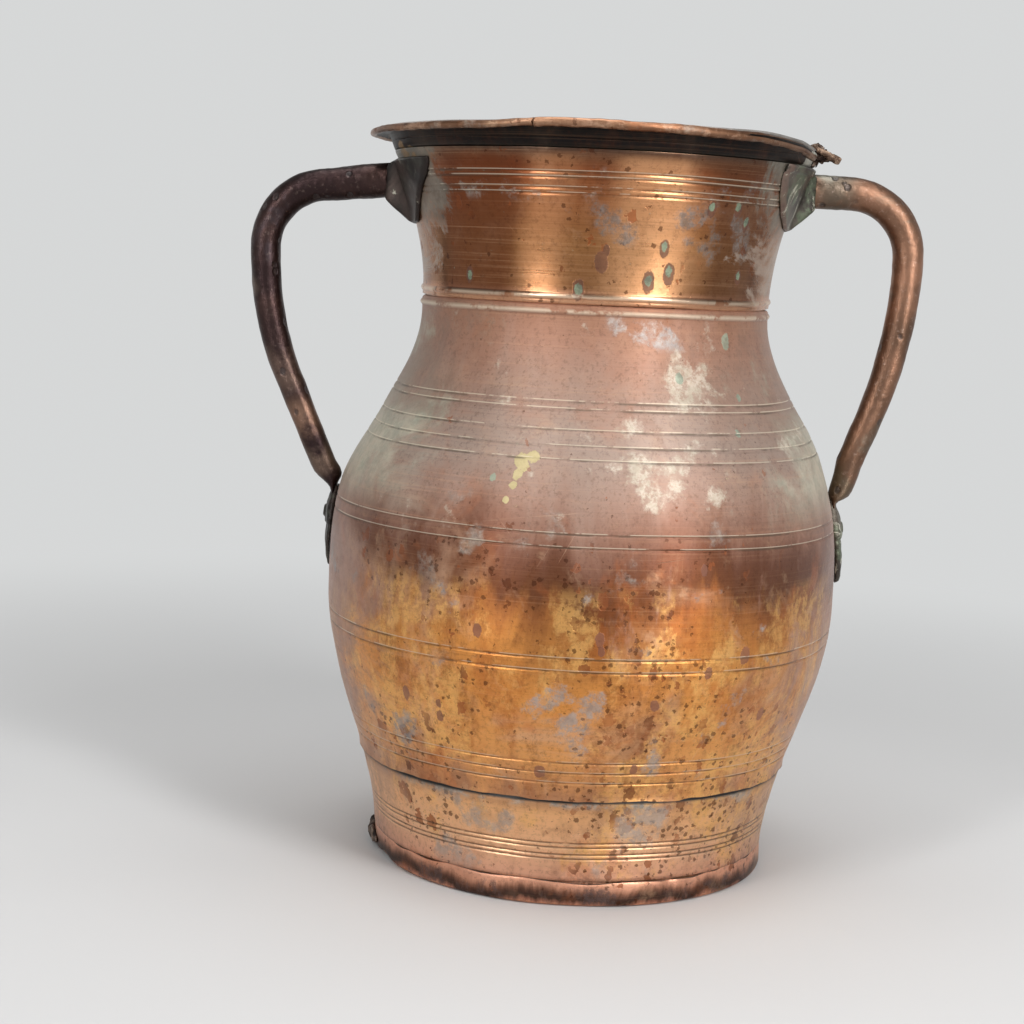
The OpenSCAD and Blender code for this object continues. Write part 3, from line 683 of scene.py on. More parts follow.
def tube_copper(name, dark, warm, grey, worn_places, gloss=0.3, specks=0.35):
    """Handle metal: dark tarnish, warm copper where hands rub, and pitted specks."""
    s = Shader(name)
    colour = s.mix(s.patches(0.4, 0.68, 16, 6, 0.6, 0.5), srgb(*dark), srgb(*warm))
    colour = s.tint(colour, s.patches(0.55, 0.66, 24, 7, 0.66, 0.9) * 0.75, grey)
    for x, z, size, tone in worn_places:
        away = s.vector("DISTANCE", s.position, (x * MM, 0, z * MM), "Value")
        rubbed = s.steps(away, size * MM * 1.3, size * MM * 0.5) \
            * s.patches(0.30, 0.55, 60, 6, 0.7)
        colour = s.tint(colour, rubbed * 0.75, tone)
    pit, pick = s.cells(150, s.stretched(1, 1, 0.8))
    on_pit = s.steps(pit, 0.34, 0.18) * s.steps(pick, 0.55, 0.6)
    colour = s.tint(colour, on_pit * 0.7, (14, 10, 10))
    colour = s.tint(colour, s.patches(0.55, 0.8, 420, 3, 0.7) * specks, (82, 72, 66))
    height = on_pit * -0.8 + s.noise(110, 5, 0.6) * 0.7 + s.noise(480, 3, 0.7) * 0.35
    return s.coat(colour, s.blend(on_pit, 0.92, 0.4), gloss + s.noise(90, 5, 0.65) * 0.22,
                  height, 0.0007, 0.8)


def rusty_iron(name, dark, brown, pale):
    """Rough, rusty iron of the hinge and the scrap at the foot."""
    s = Shader(name)
    cloud = s.noise(120, 7, 0.65, 0.8)
    colour = s.ramp(cloud, [(0.3, (13, 11, 10)), (0.47, dark), (0.57, brown), (0.68, pale)])
    grain = s.noise(600, 4, 0.7)
    return s.coat(colour, s.steps(cloud, 0.75, 0.45), 0.5 + grain * 0.35,
                  cloud + grain * 0.4, 0.0012, 0.9)


# Patina colours, each as a pair that a layer is mottled with
grey_green = ((58, 62, 55), (72, 71, 63))
deep_green = ((36, 47, 41), (56, 66, 58))
blue_grey = ((45, 43, 42), (57, 54, 52))
pale_scuff = ((72, 70, 62), (86, 83, 76))
solder_grey = ((44, 44, 42), (66, 64, 60))

# Colour of the metal by height: height, then red, green and blue. Some tones hold painted light,
# as noted at each.
# Belly: the gold from 64 to 138 mm is partly painted reflection of the bright floor, and the dark
# band from 166 to 182 mm is painted reflection of the dark room, over the copper's own tarnish.
belly_tones_with_reflections = [(57, 70, 50, 36), (64, 80, 57, 38), (82, 88, 63, 38),
               (112, 85, 58, 31), (138, 79, 53, 28), (154, 66, 42, 24),
               (166, 45, 28, 19), (182, 45, 29, 22), (196, 54, 39, 32),
               (212, 61, 49, 43), (236, 63, 55, 50), (262, 63, 52, 46),
               (288, 64, 48, 40), (303, 62, 45, 36)]
neck_tones = [(298, 80, 62, 49), (311, 78, 57, 44), (314, 60, 42, 28),
              (335, 62, 43, 27), (356, 60, 38, 24), (372, 55, 32, 20),
              (377, 46, 31, 22), (382, 30, 25, 22)]
base_tones = [(8, 70, 50, 41), (15, 86, 65, 54), (30, 93, 73, 57),
              (50, 92, 71, 51), (57, 70, 52, 38), (64, 42, 28, 20)]
heel_tones = [(0, 86, 62, 50), (1.6, 60, 42, 35), (2.8, 30, 23, 20),
              (5.5, 26, 20, 18), (8, 56, 40, 33), (10.5, 84, 62, 51),
              (14, 86, 64, 53)]
# Rolled edge: darker low and lighter high, a painted shade on its underside.
brim_tones_with_shade = [(385, 36, 28, 23), (396, 56, 40, 30)]
# Collar under the brim: grey tin up to 381.5 mm, then near black above 383 mm, which is painted
# shadow of the brim.
band_tones_with_shadow = [(374, 30, 27, 24), (381.5, 28, 26, 23),
              (383, 13, 12, 12), (392, 9, 9, 9)]
lid_tones = [(380, 60, 42, 33), (388, 66, 47, 37), (400, 74, 50, 38)]

# Shades of the bare metal and layers of patina, as old_copper takes them; some shades are painted
# reflections and some layers painted shade, as noted at each
blotches = [(flakes(38, 0.51, 60, 160, 10, 0.6), (66, 36, 17), 0.45),
            (flakes(46, 0.51, 14, 166, 8, 0.6), (94, 73, 44), 0.6),
            (flakes(70, 0.54, 60, 185, 8, 0.5), (50, 29, 16), 0.45)]
# Neck: the four columns are painted reflections, dark at the flanks and bright in two upright
# columns, where the surroundings mirror in the neck; the flakes are dark mottling of the copper.
neck_reflections_and_mottle = [(column(-84, -42, 7, 308, 378), (40, 21, 13), 0.72),
               (column(-40, -18, 6, 308, 378), (76, 54, 38), 0.45),
               (column(2, 42, 8, 308, 378), (86, 64, 46), 0.6),
               (column(54, 84, 7, 308, 378), (34, 21, 15), 0.62),
               (flakes(30, 0.52, 310, 378, 4, 0.5), (46, 24, 14), 0.4)]

belly_layers = [
    # Flank layers: the grey-green band from 205 to 285 mm is patina with painted sheen at the
    # grazing flanks; the darker, greyer flanks from 66 to 190 mm and from 250 to 306 mm are
    # painted shade and painted reflection of the walls.
    (sides(80, 118, 205, 285, 16), *grey_green, 0.60, 0.62),
    (sides(104, 132, 66, 190, 20), (55, 42, 37), (46, 34, 30), 0.7, 0.45),
    (sides(52, 96, 250, 306, 14), (50, 40, 34), (42, 33, 28), 0.7, 0.55),
    (flakes(24, 0.56, 205, 300), *grey_green, 0.45, 0.66),
    (flakes(60, 0.60, 195, 300, gain=0.13, places=[
        (-47, 272, 8), (-45, 258, 9), (41, 270, 13), (43, 262, 10), (19, 248, 10),
        (22, 224, 16), (36, 221, 14), (28, 214, 9), (52, 237, 9), (-39, 240, 7),
        (63, 213, 9), (-78, 240, 10), (100, 236, 9)]), *pale_scuff, 0.55, 0.5),
    (flakes(40, 0.63, 285, 300, 3, places=[(22, 297, 12), (34, 289, 9), (10, 298, 9)]),
     (60, 59, 58), (74, 73, 71), 0.7, 0.45),
    (flakes(52, 0.60, 66, 172, 6, gain=0.12, places=[
        (-14, 154, 8), (2, 164, 8), (-12, 114, 13), (-4, 104, 12), (-19, 109, 11),
        (4, 112, 8), (60, 93, 11), (70, 103, 12), (78, 114, 9), (38, 79, 9), (-109, 98, 12),
        (-92, 88, 9)]), *blue_grey, 0.8, 0.55),
    (flakes(34, 0.60, 168, 212, 8, places=[(-82, 170, 10), (-60, 190, 9), (62, 196, 9)]),
     *solder_grey, 0.5, 0.6),
    (flakes(26, 0.57, 120, 196, 12, tall=0.3), (60, 44, 36), (70, 54, 46),
     0.65, 0.5),
    (drops([(-36, 228, 4.4), (-31, 231, 3.4), (-38, 223, 3), (-40, 217, 2), (-43, 210, 1.6)],
           0.8, 1.2), (76, 70, 52), (70, 64, 46), 0.9, 0.6),
    (drops([(-50, 221, 2), (65, 289, 3), (73, 261, 1.8), (72, 244, 1.8), (41, 271, 2.4)],
           0.6, 1.0), *deep_green, 0.6, 0.7),
    (drops([(-89, 106, 2.5), (-72, 104, 1.7), (-71, 97, 2.3), (-54, 145, 2.4), (56, 180, 2),
            (6, 145, 2.6), (7, 139, 1.8), (35, 112, 2.4), (92, 102, 2.6), (80, 136, 3),
            (61, 128, 2.2), (-20, 74, 3.0), (27, 76, 2.2)], 0.62, 0.8),
     (42, 24, 16), (48, 29, 20), 0.85, 0.5)]
neck_layers = [
    (sides(84, 95, 300, 346, 8), (60, 55, 50), (54, 48, 43), 0.7, 0.42),
    (sides(84, 97, 346, 384, 6), (33, 34, 31), (44, 44, 40), 0.75, 0.5),
    (flakes(46, 0.62, 312, 375), *deep_green, 0.5, 0.6),
    (flakes(70, 0.56, 357, 372, 3), *solder_grey, 0.6, 0.6),
    (flakes(50, 0.60, 312, 372, 6, places=[(2, 347, 10), (8, 343, 8), (-3, 352, 6),
                                           (43, 343, 11), (52, 339, 11), (70, 345, 8)]),
     (30, 28, 26), (44, 43, 42), 0.75, 0.45),
    # Pale grey patch on the right of the neck's flare: tin, with painted light where the lamp
    # reaches under the brim.
    (drops([(103, 379, 10), (104, 373, 5)], 0.8, 1.2), (56, 56, 52),
     (74, 73, 68), 0.75, 0.5),
    (drops([(-104, 378, 6), (-98, 376, 4), (-96, 372, 3)], 1.2, 1.2), (42, 34, 22),
     (56, 44, 30), 0.75, 0.6),
    (drops([(30, 335, 2.8), (33, 323, 3.2), (23, 318, 3.2), (-12, 313, 3.4), (-67, 318, 2.6),
            (53, 356, 2.8), (67, 357, 2.6), (72, 350, 2.6), (70, 323, 2.6), (-1, 327, 3.6),
            (1, 333, 2)], 0.55, 0.7), (28, 15, 10), (38, 22, 14), 0.8, 0.45),
    (drops([(30, 336, 1.7), (33, 324, 2), (23, 319, 2), (-12, 313, 2.4), (-67, 318, 1.7),
            (53, 357, 1.7), (67, 358, 1.7), (72, 351, 1.6), (70, 324, 1.6)], 0.7, 1.4),
     (34, 40, 34), (52, 60, 50), 0.75, 0.6)]
base_layers = [
    # Darker, greyer flanks of the base: painted shade and painted reflection.
    (sides(92, 112, 8, 66, 8), (58, 44, 38), (50, 37, 32), 0.5, 0.45),
    (flakes(36, 0.575, 16, 58, 6, places=[(-49, 44, 12), (-40, 42, 10), (33, 45, 11),
                                          (-63, 17, 11), (-54, 16, 9)]),
     (50, 46, 43), (60, 56, 53), 0.75, 0.55),
    (flakes(70, 0.50, 54, 60, 2), *solder_grey, 0.8, 0.6),
    (flakes(60, 0.53, 9, 17, 3, 0.5), (30, 21, 17), (42, 30, 24), 0.7, 0.5)]
heel_layers = [(flakes(60, 0.58), (62, 42, 33), (70, 50, 40), 0.8, 0.4),
               (flakes(120, 0.50, 1, 10, 1.5, 0.5), (24, 17, 16), (36, 25, 22),
                0.8, 0.5)]
brim_layers = [(flakes(150, 0.52), (68, 52, 42), (80, 66, 55), 0.5, 0.35),
               (flakes(60, 0.56), *solder_grey, 0.5, 0.5)]
lid_layers = [(flakes(24, 0.54), *grey_green, 0.6, 0.65), (flakes(34, 0.60), *blue_grey, 0.8, 0.5)]

belly_copper = old_copper("belly_copper", belly_tones_with_reflections, 0.42, 0.70, 0.45, 26, 0.10,
                          pale_lines=0.75, dark_lines=0.85, mottle=0.75, dull_above=172,
                          spots_below=182, shades=blotches, layers=belly_layers)
neck_copper = old_copper("neck_copper", neck_tones, 0.31, 0.25, 0.7, pale_lines=0.9,
                         mottle=0.35, shades=neck_reflections_and_mottle, layers=neck_layers)
base_copper = old_copper("base_copper", base_tones, 0.40, 1.0, 0.45, pale_lines=0.15,
                         dark_lines=0.9, mottle=0.7, shades=blotches, layers=base_layers)
heel_copper = old_copper("heel_copper", heel_tones, 0.42, 0.5, 0.2, 7, lined=False,
                         layers=heel_layers)
brim_copper = old_copper("brim_copper", brim_tones_with_shade, 0.38, 0.5, 0.2, lined=False,
                         layers=brim_layers)
# Pale grey patch on the right of the collar: tin, with painted light where the lamp reaches under
# the brim.
band_layers = [(drops([(107, 383, 12), (109, 387, 9)], 0.9, 1.2), (56, 56, 52),
                (74, 73, 68), 0.8, 0.5),
               (drops([(-106, 381, 6), (-101, 380, 4)], 1.2, 1.2), (42, 34, 22),
                (56, 44, 30), 0.75, 0.6)]
# The collar's copper: its tones carry the brim's painted shadow.
band_copper = old_copper("band_copper", band_tones_with_shadow, 0.46, 0.02, 0.2, lined=False, mottle=0.05,
                         layers=band_layers)
lid_copper = old_copper("lid_copper", lid_tones, 0.38, 0.6, 0.4, lined=False,
                        layers=lid_layers)
inside_tin = dull_tin("inside_tin")
brim_tin = dull_tin("brim_tin", (70, 68, 66), (50, 48, 46), 0.48)
# Its near-black rim tone paints a shadow line along the left shield's edges.
left_brass = dark_brass("left_brass", (31, 26, 24), (19, 17, 16), 0.34, 0.3,
                        (15, 12, 11))
right_brass = dark_brass("right_brass", (46, 43, 39), (25, 23, 21), 0.40, 1.4)
left_copper = tube_copper("left_copper", (19, 14, 14), (32, 24, 22), (27, 23, 24), [
    (-185, 306, 7, (44, 38, 34)), (-168, 262, 15, (44, 36, 32)),
    (-158, 234, 14, (54, 42, 35)), (-147, 212, 12, (46, 38, 33))], 0.27, 0.12)
right_copper = tube_copper("right_copper", (40, 30, 24), (61, 45, 36), (44, 40, 35), [
    (126, 371, 15, (36, 35, 31)), (122, 376, 7, (62, 61, 56)),
    (141, 210, 14, (38, 34, 28)), (152, 213, 5, (70, 42, 30))])
rust = rusty_iron("rust", (25, 20, 18), (42, 35, 30), (66, 59, 54))
pin_iron = rusty_iron("pin_iron", (40, 32, 27), (60, 50, 42), (78, 70, 62))


# Jar

# Wear of the foot's edge, by angle in degrees: a lifted stretch and a nick
lifted_at = 201
lifted_width = 5.0
lifted_by = 3.2
nick_at = 298
nick_width = 1.6
nick_depth = 1.1


def bottom_plate():
    """Flat bottom with its upturned band and ragged upper edge."""
    profile = [(0.0, 0.0), (60, 0.0), (100, 0.0), (104.4, 0.0), (106.4, 0.25), (107.4, 0.9),
               (107.8, 2.0), (107.8, 4.0), (107.85, 6.5), (107.9, 9.0), (107.85, 11.5),
               (107.75, 12.6), (107.6, 13.0), (106.8, 13.0), (106.4, 8.0), (106.0, 4.0),
               (105.2, 2.0), (104.0, wall), (60, wall), (0.0, wall)]
    radii, heights = np.array(profile).T[:, :, None] * np.ones((1, 1, round_segments))
    angle = all_round[None, :]
    on_edge = clipped(heights / heel_height) ** 3
    ring = circle(108.0)
    ragged = uneven(ring, (0.5, 17, 21), (0.5, 45, 22))
    radii = radii + (0.25 * waves(ring, 60, 23) + side_shift(heights) * np.cos(angle)) \
        * clipped(radii / foot_radius)
    lifted = np.exp(-((np.degrees(angle) - lifted_at) / lifted_width) ** 2)
    heights = heights + on_edge * ragged
    rim = clipped((radii - 95) / 12) * clipped(1 - heights / 6)
    heights = heights + lifted_by * lifted * rim
    nick = np.exp(-((np.degrees(angle) - nick_at) / nick_width) ** 2)
    radii = radii - nick_depth * (nick * clipped((heights - 1) / 5)) * (radii > 100)
    made = loft("heel", around(radii, angle, heights), row_slots=[0] * 12 + [1] * 8)
    settle(made, [heel_copper, inside_tin], ["bottom_plate"])


def jar_sheets():
    """The three turned sheets that overlap to make the body."""
    base = sheet("base", wall + lap_gap, seam_height + lap_length, seam_height, heel_height)
    settle(base, [base_copper, inside_tin], ["base_shell"])
    belly = sheet("belly", seam_height, neck_joint_height, edge_lift=0.9, bevel=1.1)
    settle(belly, [belly_copper, inside_tin], ["belly_shell"])
    neck = sheet("neck", neck_joint_height - lap_length, lip_height,
                 bottom=neck_joint_height)
    settle(neck, [neck_copper, inside_tin], ["neck_shell"])


# Top and thickness of the rolled edge by angle from the hinge, the same on both sides
roll_angles = [0, 13, 22, 30, 48, 67, 91, 107.3, 109.7, 115, 132, 147, 161, 180]
roll_tops = [390.0, 390.0, 390.8, 392.6, 394.0, 395.1, 395.2, 395.2, 394.7, 394.1, 393.0,
             392.3, 392.2, 392.2]
roll_radii = [2.5, 2.5, 2.5, 2.5, 2.5, 2.4, 2.3, 2.3, 1.9, 1.9, 1.85, 1.8, 1.7, 1.7]
crown_rises = [1.2, 1.2, 1.3, 1.2, 1.0, 0.2, -0.6, -0.6, -0.3, 0.2, 1.0, 1.5, 1.2, 1.0]

# Split in the rolled edge at the front, in degrees from the hinge
split_angle = 108.6
split_half = 0.22

# Where the collar turns out into the brim, below the brim's crown
corner_drop = 0.7
corner_lead = 1.6


def brim_section(degrees):
    """Points (radius, height) of the collar and brim at an angle, and their zones."""
    from_hinge = abs((degrees + 180) % 360 - 180)
    turn = math.radians(degrees)
    reach = (-brim_offset * math.cos(turn)
             + math.sqrt(roll_circle ** 2 - (brim_offset * math.sin(turn)) ** 2))
    top = np.interp(from_hinge, roll_angles, roll_tops)
    roll = np.interp(from_hinge, roll_angles, roll_radii)
    crown = top + np.interp(from_hinge, roll_angles, crown_rises)
    wobble = 0.25 * math.sin(7 * turn + 1) + 0.15 * math.sin(13 * turn)
    top, crown, reach = top + wobble, crown + wobble, reach + 2.4 - roll
    on_front = degrees < 0 or degrees > 180
    if on_front and abs(from_hinge - split_angle) < split_half:
        roll = roll * 0.55
    corner = crown - corner_drop
    middle = top - roll
    start = notch_floor - 0.3
    ring = [math.radians(t) for t in np.linspace(205, 470, 16)]
    rise = np.linspace(start, corner - corner_lead, 5)
    section = [(float(body_radius(z)), z, 0) for z in rise]
    edge = float(body_radius(corner - corner_lead))
    gap = max(reach - roll - edge, 1.2)
    section += [(edge + 0.4 * gap, corner + 0.3 * (middle - corner) - 0.6, 0),
                (edge + 0.75 * gap, corner + 0.7 * (middle - corner) - 0.5, 0)]
    section += [(reach + roll * math.cos(t), middle + roll * math.sin(t), 1) for t in ring]
    inner_edge = edge + 0.25
    for share in (0.75, 0.45, 0.15):
        section.append((inner_edge + share * (reach - inner_edge),
                        crown + 0.1 + share * (top - 0.15 - crown), 2))
    section.append((edge - 1.2, corner - 0.3, 2))
    section += [(float(body_radius(z)) - wall, z, 2) for z in rise[::-1]]
    return section


def collar_brim():
    """Collar, brim and rolled edge, open at the hinge and split at the front."""
    low_z = rows_between(lip_height - lap_length, notch_floor, bottom=lip_height)
    angle = all_round[None, :]
    outer = body_radius(low_z[:, None]) - tucked(low_z[:, None], nowhere, lip_height) \
        + dent(low_z[:, None], angle)
    radii = np.vstack([outer, outer[::-1] - wall])
    heights = np.concatenate([low_z, low_z[::-1]])
    slots = [0] * (len(low_z) - 1) + [2] * (len(low_z) + 1)
    collar = loft("collar", around(radii, all_round, heights[:, None]), wrap_rows=True,
                  row_slots=slots)
    start = math.degrees(math.asin(notch_half / float(body_radius(notch_floor))))
    turns = set(np.linspace(start, 360 - start, 260).round(3))
    split = 360 - split_angle
    turns.update(split + split_half * s for s in (-2.2, -1.02, -0.98, 0.98, 1.02, 2.2))
    turns = sorted(turns)
    radii, heights, zones = np.array([brim_section(t) for t in turns], float).T
    points = around(radii, np.radians(turns), heights)
    bumps = uneven(points, (0.14, 9, 31), (0.16, 23, 32))
    points[..., 2] += bumps * (zones == 1)
    brim = loft("brim", points, wrap_rows=True, wrap_columns=False, caps=True,
                row_slots=zones[:, 0].astype(int))
    for part in (collar, brim):
        for material in (band_copper, brim_copper, brim_tin):
            part.data.materials.append(material)
    made = join("collar_and_brim", [collar, brim])
    settle(made, [], ["collar_brim", "rim_wire"])


def foot_fragment():
    """Ragged scrap of iron that clings to the foot on the left."""
    turns = np.radians(np.linspace(164, 194, 40))
    ring = full_turn(14)
    share = np.sin(np.pi * (np.linspace(0, 1, 40))) ** 0.6
    radii = 109.0 + np.outer(np.cos(ring), 2.6 * share)
    heights = 5.4 + np.outer(np.sin(ring), 5.0 * share)
    points = around(radii, turns, heights)
    rough = uneven(points, (0.5, 7, 41), (0.7, 15, 42))
    points[..., 0] += rough * share * np.cos(turns)
    points[..., 2] += 0.8 * waves(points, 9, 43) * share
    points[..., 2] = np.maximum(points[..., 2], 0.1)
    made = loft("foot_scrap", points.transpose(1, 0, 2), caps=True)
    settle(made, [rust], ["foot_fragment"])


# Handle mounts

def smooth_least(a, b, soft):
    """The lesser of two, with the corner where they meet rounded."""
    mix = clipped(0.5 + 0.5 * (b - a) / soft)
    return b + (a - b) * mix - soft * mix * (1 - mix)


# Shields: heights of their tip and top from the tube's axis, and the boss's outer face
shield_tip = -22.3
shield_top = 11
boss_face = 115.6

# Outline of each shield: heights, and half width at each
left_shield_edge = ([343.6, 344.6, 351, 358, 362.5, 368, 374, 376.9],
                    [20, 27.5, 34.5, 42, 47.5, 55.5, 61, 62])
right_shield_edge = ([348.1, 349, 355.5, 364.5, 373, 380, 381.4],
                     [18, 31, 45, 55, 61, 64, 64])


def plate_loft(name, side, front, back, y, z):
    """Closed plate between its front and back faces, on the side of the jar given."""
    points = np.concatenate([xyz(side * front, y, z), xyz(side * back, y, z)[:, ::-1]], axis=1)
    return loft(name, points[:, ::side], caps=True)


def shield(name, side, tube_height, outline, material, node):
    """Beaten shield plate on the neck with a faceted boss round the tube's root."""
    up = np.linspace(0, 1, 61)
    z = tube_height + shield_tip + (shield_top - shield_tip) * up
    half = np.interp(z, *outline)
    across = np.linspace(-1, 1, 91)
    y = np.outer(half, across)
    heights = np.repeat(z[:, None], len(across), axis=1)
    on_neck = body_radius(heights) + np.where(heights > lip_height - 4, 1.2, 0.3)
    back = np.sqrt(np.maximum(on_neck ** 2 - y ** 2, 0))
    plate = back + 2.4
    side_x = np.interp(heights - tube_height, [shield_tip, -11.4, -9.6, 6.5, 9.6, shield_top],
                       [boss_face - 14.1, boss_face - 1.6, boss_face, boss_face,
                        boss_face - 2.5, boss_face - 7])
    plan_x = np.interp(np.abs(y), [0, 10.5, 13, 30, 62],
                       [boss_face, boss_face, boss_face - 6, 85, 60])
    boss = smooth_least(side_x, plan_x, 1.6)
    front = -smooth_least(-boss, -plate, 1.4)
    points = xyz(front, y, heights)
    edge = np.minimum(np.minimum(1 - np.abs(across)[None, :], up[:, None]), 1 - up[:, None])
    front -= 1.5 * clipped(1 - edge / 0.035) ** 2
    front += uneven(points, (0.28, 11, 51), (0.35, 30, 52)) * clipped(edge / 0.05)
    front = np.maximum(front, back + 0.6)
    made = plate_loft(name, side, front, back + 0.05, y, heights)
    # Strip along the shield's side edges, for its material's rim tone, which on the left is a
    # painted shadow line.
    rim = np.concatenate([clipped((np.abs(across) - 0.94) / 0.02), np.abs(across) > 2])
    paint(made, "rim", np.tile(rim[::side], (len(z), 1)))
    rivets = node.replace("upper_socket", "socket_rivets")
    settle(made, [material], [node, rivets])


# Leaf stations from the top: height, inner x, outer x and half width
left_leaf = [(199, 136.0, 139.9, 4.5), (195.5, 136.3, 140.1, 5.0), (192, 136.6, 141.3, 8.0),
             (189.4, 137.0, 142.2, 11.5), (186, 137.7, 142.5, 15.5), (183, 138.2, 142.7, 17.0),
             (179.3, 138.6, 142.6, 16.5), (178.3, 138.7, 141.9, 16.2),
             (174, 139.0, 142.3, 14.0), (169, 139.5, 142.4, 11.5), (163, 139.8, 142.0, 8.5),
             (158.5, 139.9, 141.5, 6.2), (155.8, 139.7, 141.0, 4.0), (154.4, 139.5, 140.7, 2.0)]
right_leaf = [(203, 135.0, 138.3, 5.0), (200, 134.4, 138.8, 5.2), (197, 134.3, 140.3, 7.0),
              (193.5, 134.7, 141.5, 11.0), (190.5, 135.4, 142.2, 14.5),
              (187, 136.3, 142.6, 17.0), (183.5, 137.2, 142.7, 17.0),
              (182.4, 137.5, 141.9, 16.6), (178, 138.2, 142.8, 15.0),
              (173.5, 138.8, 143.5, 12.5), (167, 139.5, 143.7, 9.5), (161.5, 140.0, 143.5, 7.4),
              (158.8, 140.2, 143.0, 6.0), (157.6, 140.3, 142.2, 4.0)]


def palmette(name, side, stations, material, node):
    """Ribbed leaf under a handle's end, narrow where the tube flattens into it."""
    table = np.array(stations)[::-1]
    z = np.linspace(table[0, 0], table[-1, 0], 91)
    inner, crest, half = (np.interp(z, table[:, 0], table[:, k])[:, None] for k in (1, 2, 3))
    top = table[-1, 0]
    down = (top - z)[:, None]
    lobes = 1 + 0.04 * np.cos(down * 1.1) * (down > 8) * (down < 30)
    across = np.linspace(-1, 1, 61)[None, :]
    y = half * lobes * across
    heights = np.repeat(z[:, None], 61, axis=1)
    round_wall = body_radius(heights)
    back = inner - round_wall + np.sqrt(round_wall ** 2 - y ** 2)
    rib = 0.5 * (1 - np.cos(9 * np.pi * across) * np.cos(np.pi * across / 2)) * clipped(down / 14)
    thick = (crest - inner) * (1 - 0.35 * np.abs(across) ** 3) - 0.4 * rib
    edge = np.minimum(1 - np.abs(across), (np.minimum(heights - table[0, 0], top - heights)) / 12)
    front = back + np.maximum(thick, 1.0) - 0.9 * clipped(1 - edge / 0.07) ** 2
    front = front + 0.16 * waves(xyz(front, y, heights), 8, 61) * clipped(edge / 0.1)
    made = plate_loft(name, side, front, back, y, heights)
    settle(made, [material], [node])


# Handles

def unit(rows):
    """Directions of length 1."""
    return rows / np.linalg.norm(rows, axis=1)[:, None]


def roughened(points, core, lumps):
    """Points moved out from their core line by a share for each."""
    return core[:, None, :] + (points - core[:, None, :]) * lumps[..., None]


def arc(start, slope, turn, bend, count):
    """Points of an arc that leaves start at a slope, turns down and ends after turn."""
    steps = np.linspace(0, turn, count)[1:]
    x = start[0] + bend * (np.sin(slope + steps) - np.sin(slope))
    z = start[1] + bend * (np.cos(slope + steps) - np.cos(slope))
    return list(zip(x, z))


def tube_path(height, slope, reach, turn, end):
    """Centre line of a handle in the XZ plane, from its socket to its lower end."""
    slope = math.radians(slope)
    turn = math.radians(turn)
    bend = 34.0
    start = (110.6, height + 5 * math.sin(slope))
    x = reach - bend * (1 - math.sin(slope))
    first = (x, start[1] - (x - start[0]) * math.tan(slope))
    path = [(start[0] + (first[0] - start[0]) * s, start[1] + (first[1] - start[1]) * s)
            for s in np.linspace(0, 1, 16)]
    path += arc(first, slope, math.pi / 2 - slope, bend, 34)
    grip = path[-1]
    curve = ((grip[1] - end[1]) * math.sin(turn) - (grip[0] - end[0]) * math.cos(turn)) \
        / (1 - math.cos(turn))
    path += arc(grip, math.pi / 2, turn, curve, 34)
    leg = path[-1]
    path += [(leg[0] + (end[0] - leg[0]) * s, leg[1] + (end[1] - leg[1]) * s)
             for s in np.linspace(0, 1, 30)[1:]]
    return np.array(path)


# Length in which a tube passes into its forged end
forged_length = 7

# Forged end of each tube: outer x and height, inner x and height, half width
left_end = [(151.6, 209.6, 138.3, 212.6, 7.0), (149.6, 205.9, 135.6, 208.6, 7.2),
            (147.2, 203.4, 134.6, 205.6, 7.4), (144.4, 201.2, 134.9, 203.4, 7.5),
            (142.2, 199.3, 136.0, 201.2, 7.2), (140.8, 197.5, 137.0, 198.9, 6.6),
            (140.2, 195.5, 137.3, 196.2, 5.8), (140.0, 193.0, 137.7, 193.2, 5.0)]
right_end = [(149.9, 216.8, 136.7, 218.4, 6.8), (148.5, 212.2, 135.6, 213.4, 7.0),
             (147.0, 208.4, 134.8, 210.0, 7.3), (145.3, 205.7, 134.4, 207.6, 7.5),
             (142.8, 204.0, 134.3, 206.0, 7.6), (140.2, 202.8, 134.7, 204.4, 7.3),
             (138.5, 201.2, 135.2, 202.0, 6.4), (138.3, 198.8, 135.8, 199.0, 5.8),
             (138.8, 196.0, 136.4, 196.2, 5.2)]


def handle(name, side, path, stations, radii, end, material, node, seed):
    """Hand-drawn tube: tapered, a little uneven, and hammered flat at its foot."""
    length = np.concatenate([[0], np.cumsum(np.linalg.norm(np.diff(path, axis=0), axis=1))])
    even = np.linspace(0, length[-1], 230)
    centre = np.stack([np.interp(even, length, path[:, k]) for k in (0, 1)], axis=-1)
    heading = unit(np.gradient(centre, axis=0))
    across = np.stack([-heading[:, 1], heading[:, 0]], axis=-1)
    radius = np.interp(even / length[-1], stations, radii)[:, None]
    stop = np.sum(centre[:, 1] > end[0][1] + forged_length)
    rings = np.concatenate([centre + across * radius, centre - across * radius,
                            radius], axis=1)[:stop]
    rings = np.vstack([rings, np.array(end)])
    middle = (rings[:, 0:2] + rings[:, 2:4]) / 2
    half = (rings[:, 0:2] - rings[:, 2:4]) / 2
    turn = full_turn(48)
    x = middle[:, :1] + half[:, :1] * np.cos(turn)
    z = middle[:, 1:] + half[:, 1:] * np.cos(turn)
    y = rings[:, 4:] * np.sin(turn)
    points = xyz(side * x, y, z)
    core = xyz(side * middle[:, 0], 0.0, middle[:, 1])
    bumps = 1 + uneven(points, (0.012, 13, seed), (0.018, 40, seed + 1), (0.006, 5, seed + 2))
    points = roughened(points, core, bumps)
    made = loft(name, points[:, ::side], caps=True)
    settle(made, [material], [node])


left_path = tube_path(365.9, 6.5, 180.2, 24.0, (141.0, 202.0))
right_path = tube_path(370.4, 0.5, 169.2, 20.0, (137.7, 205.5))


# Hinge

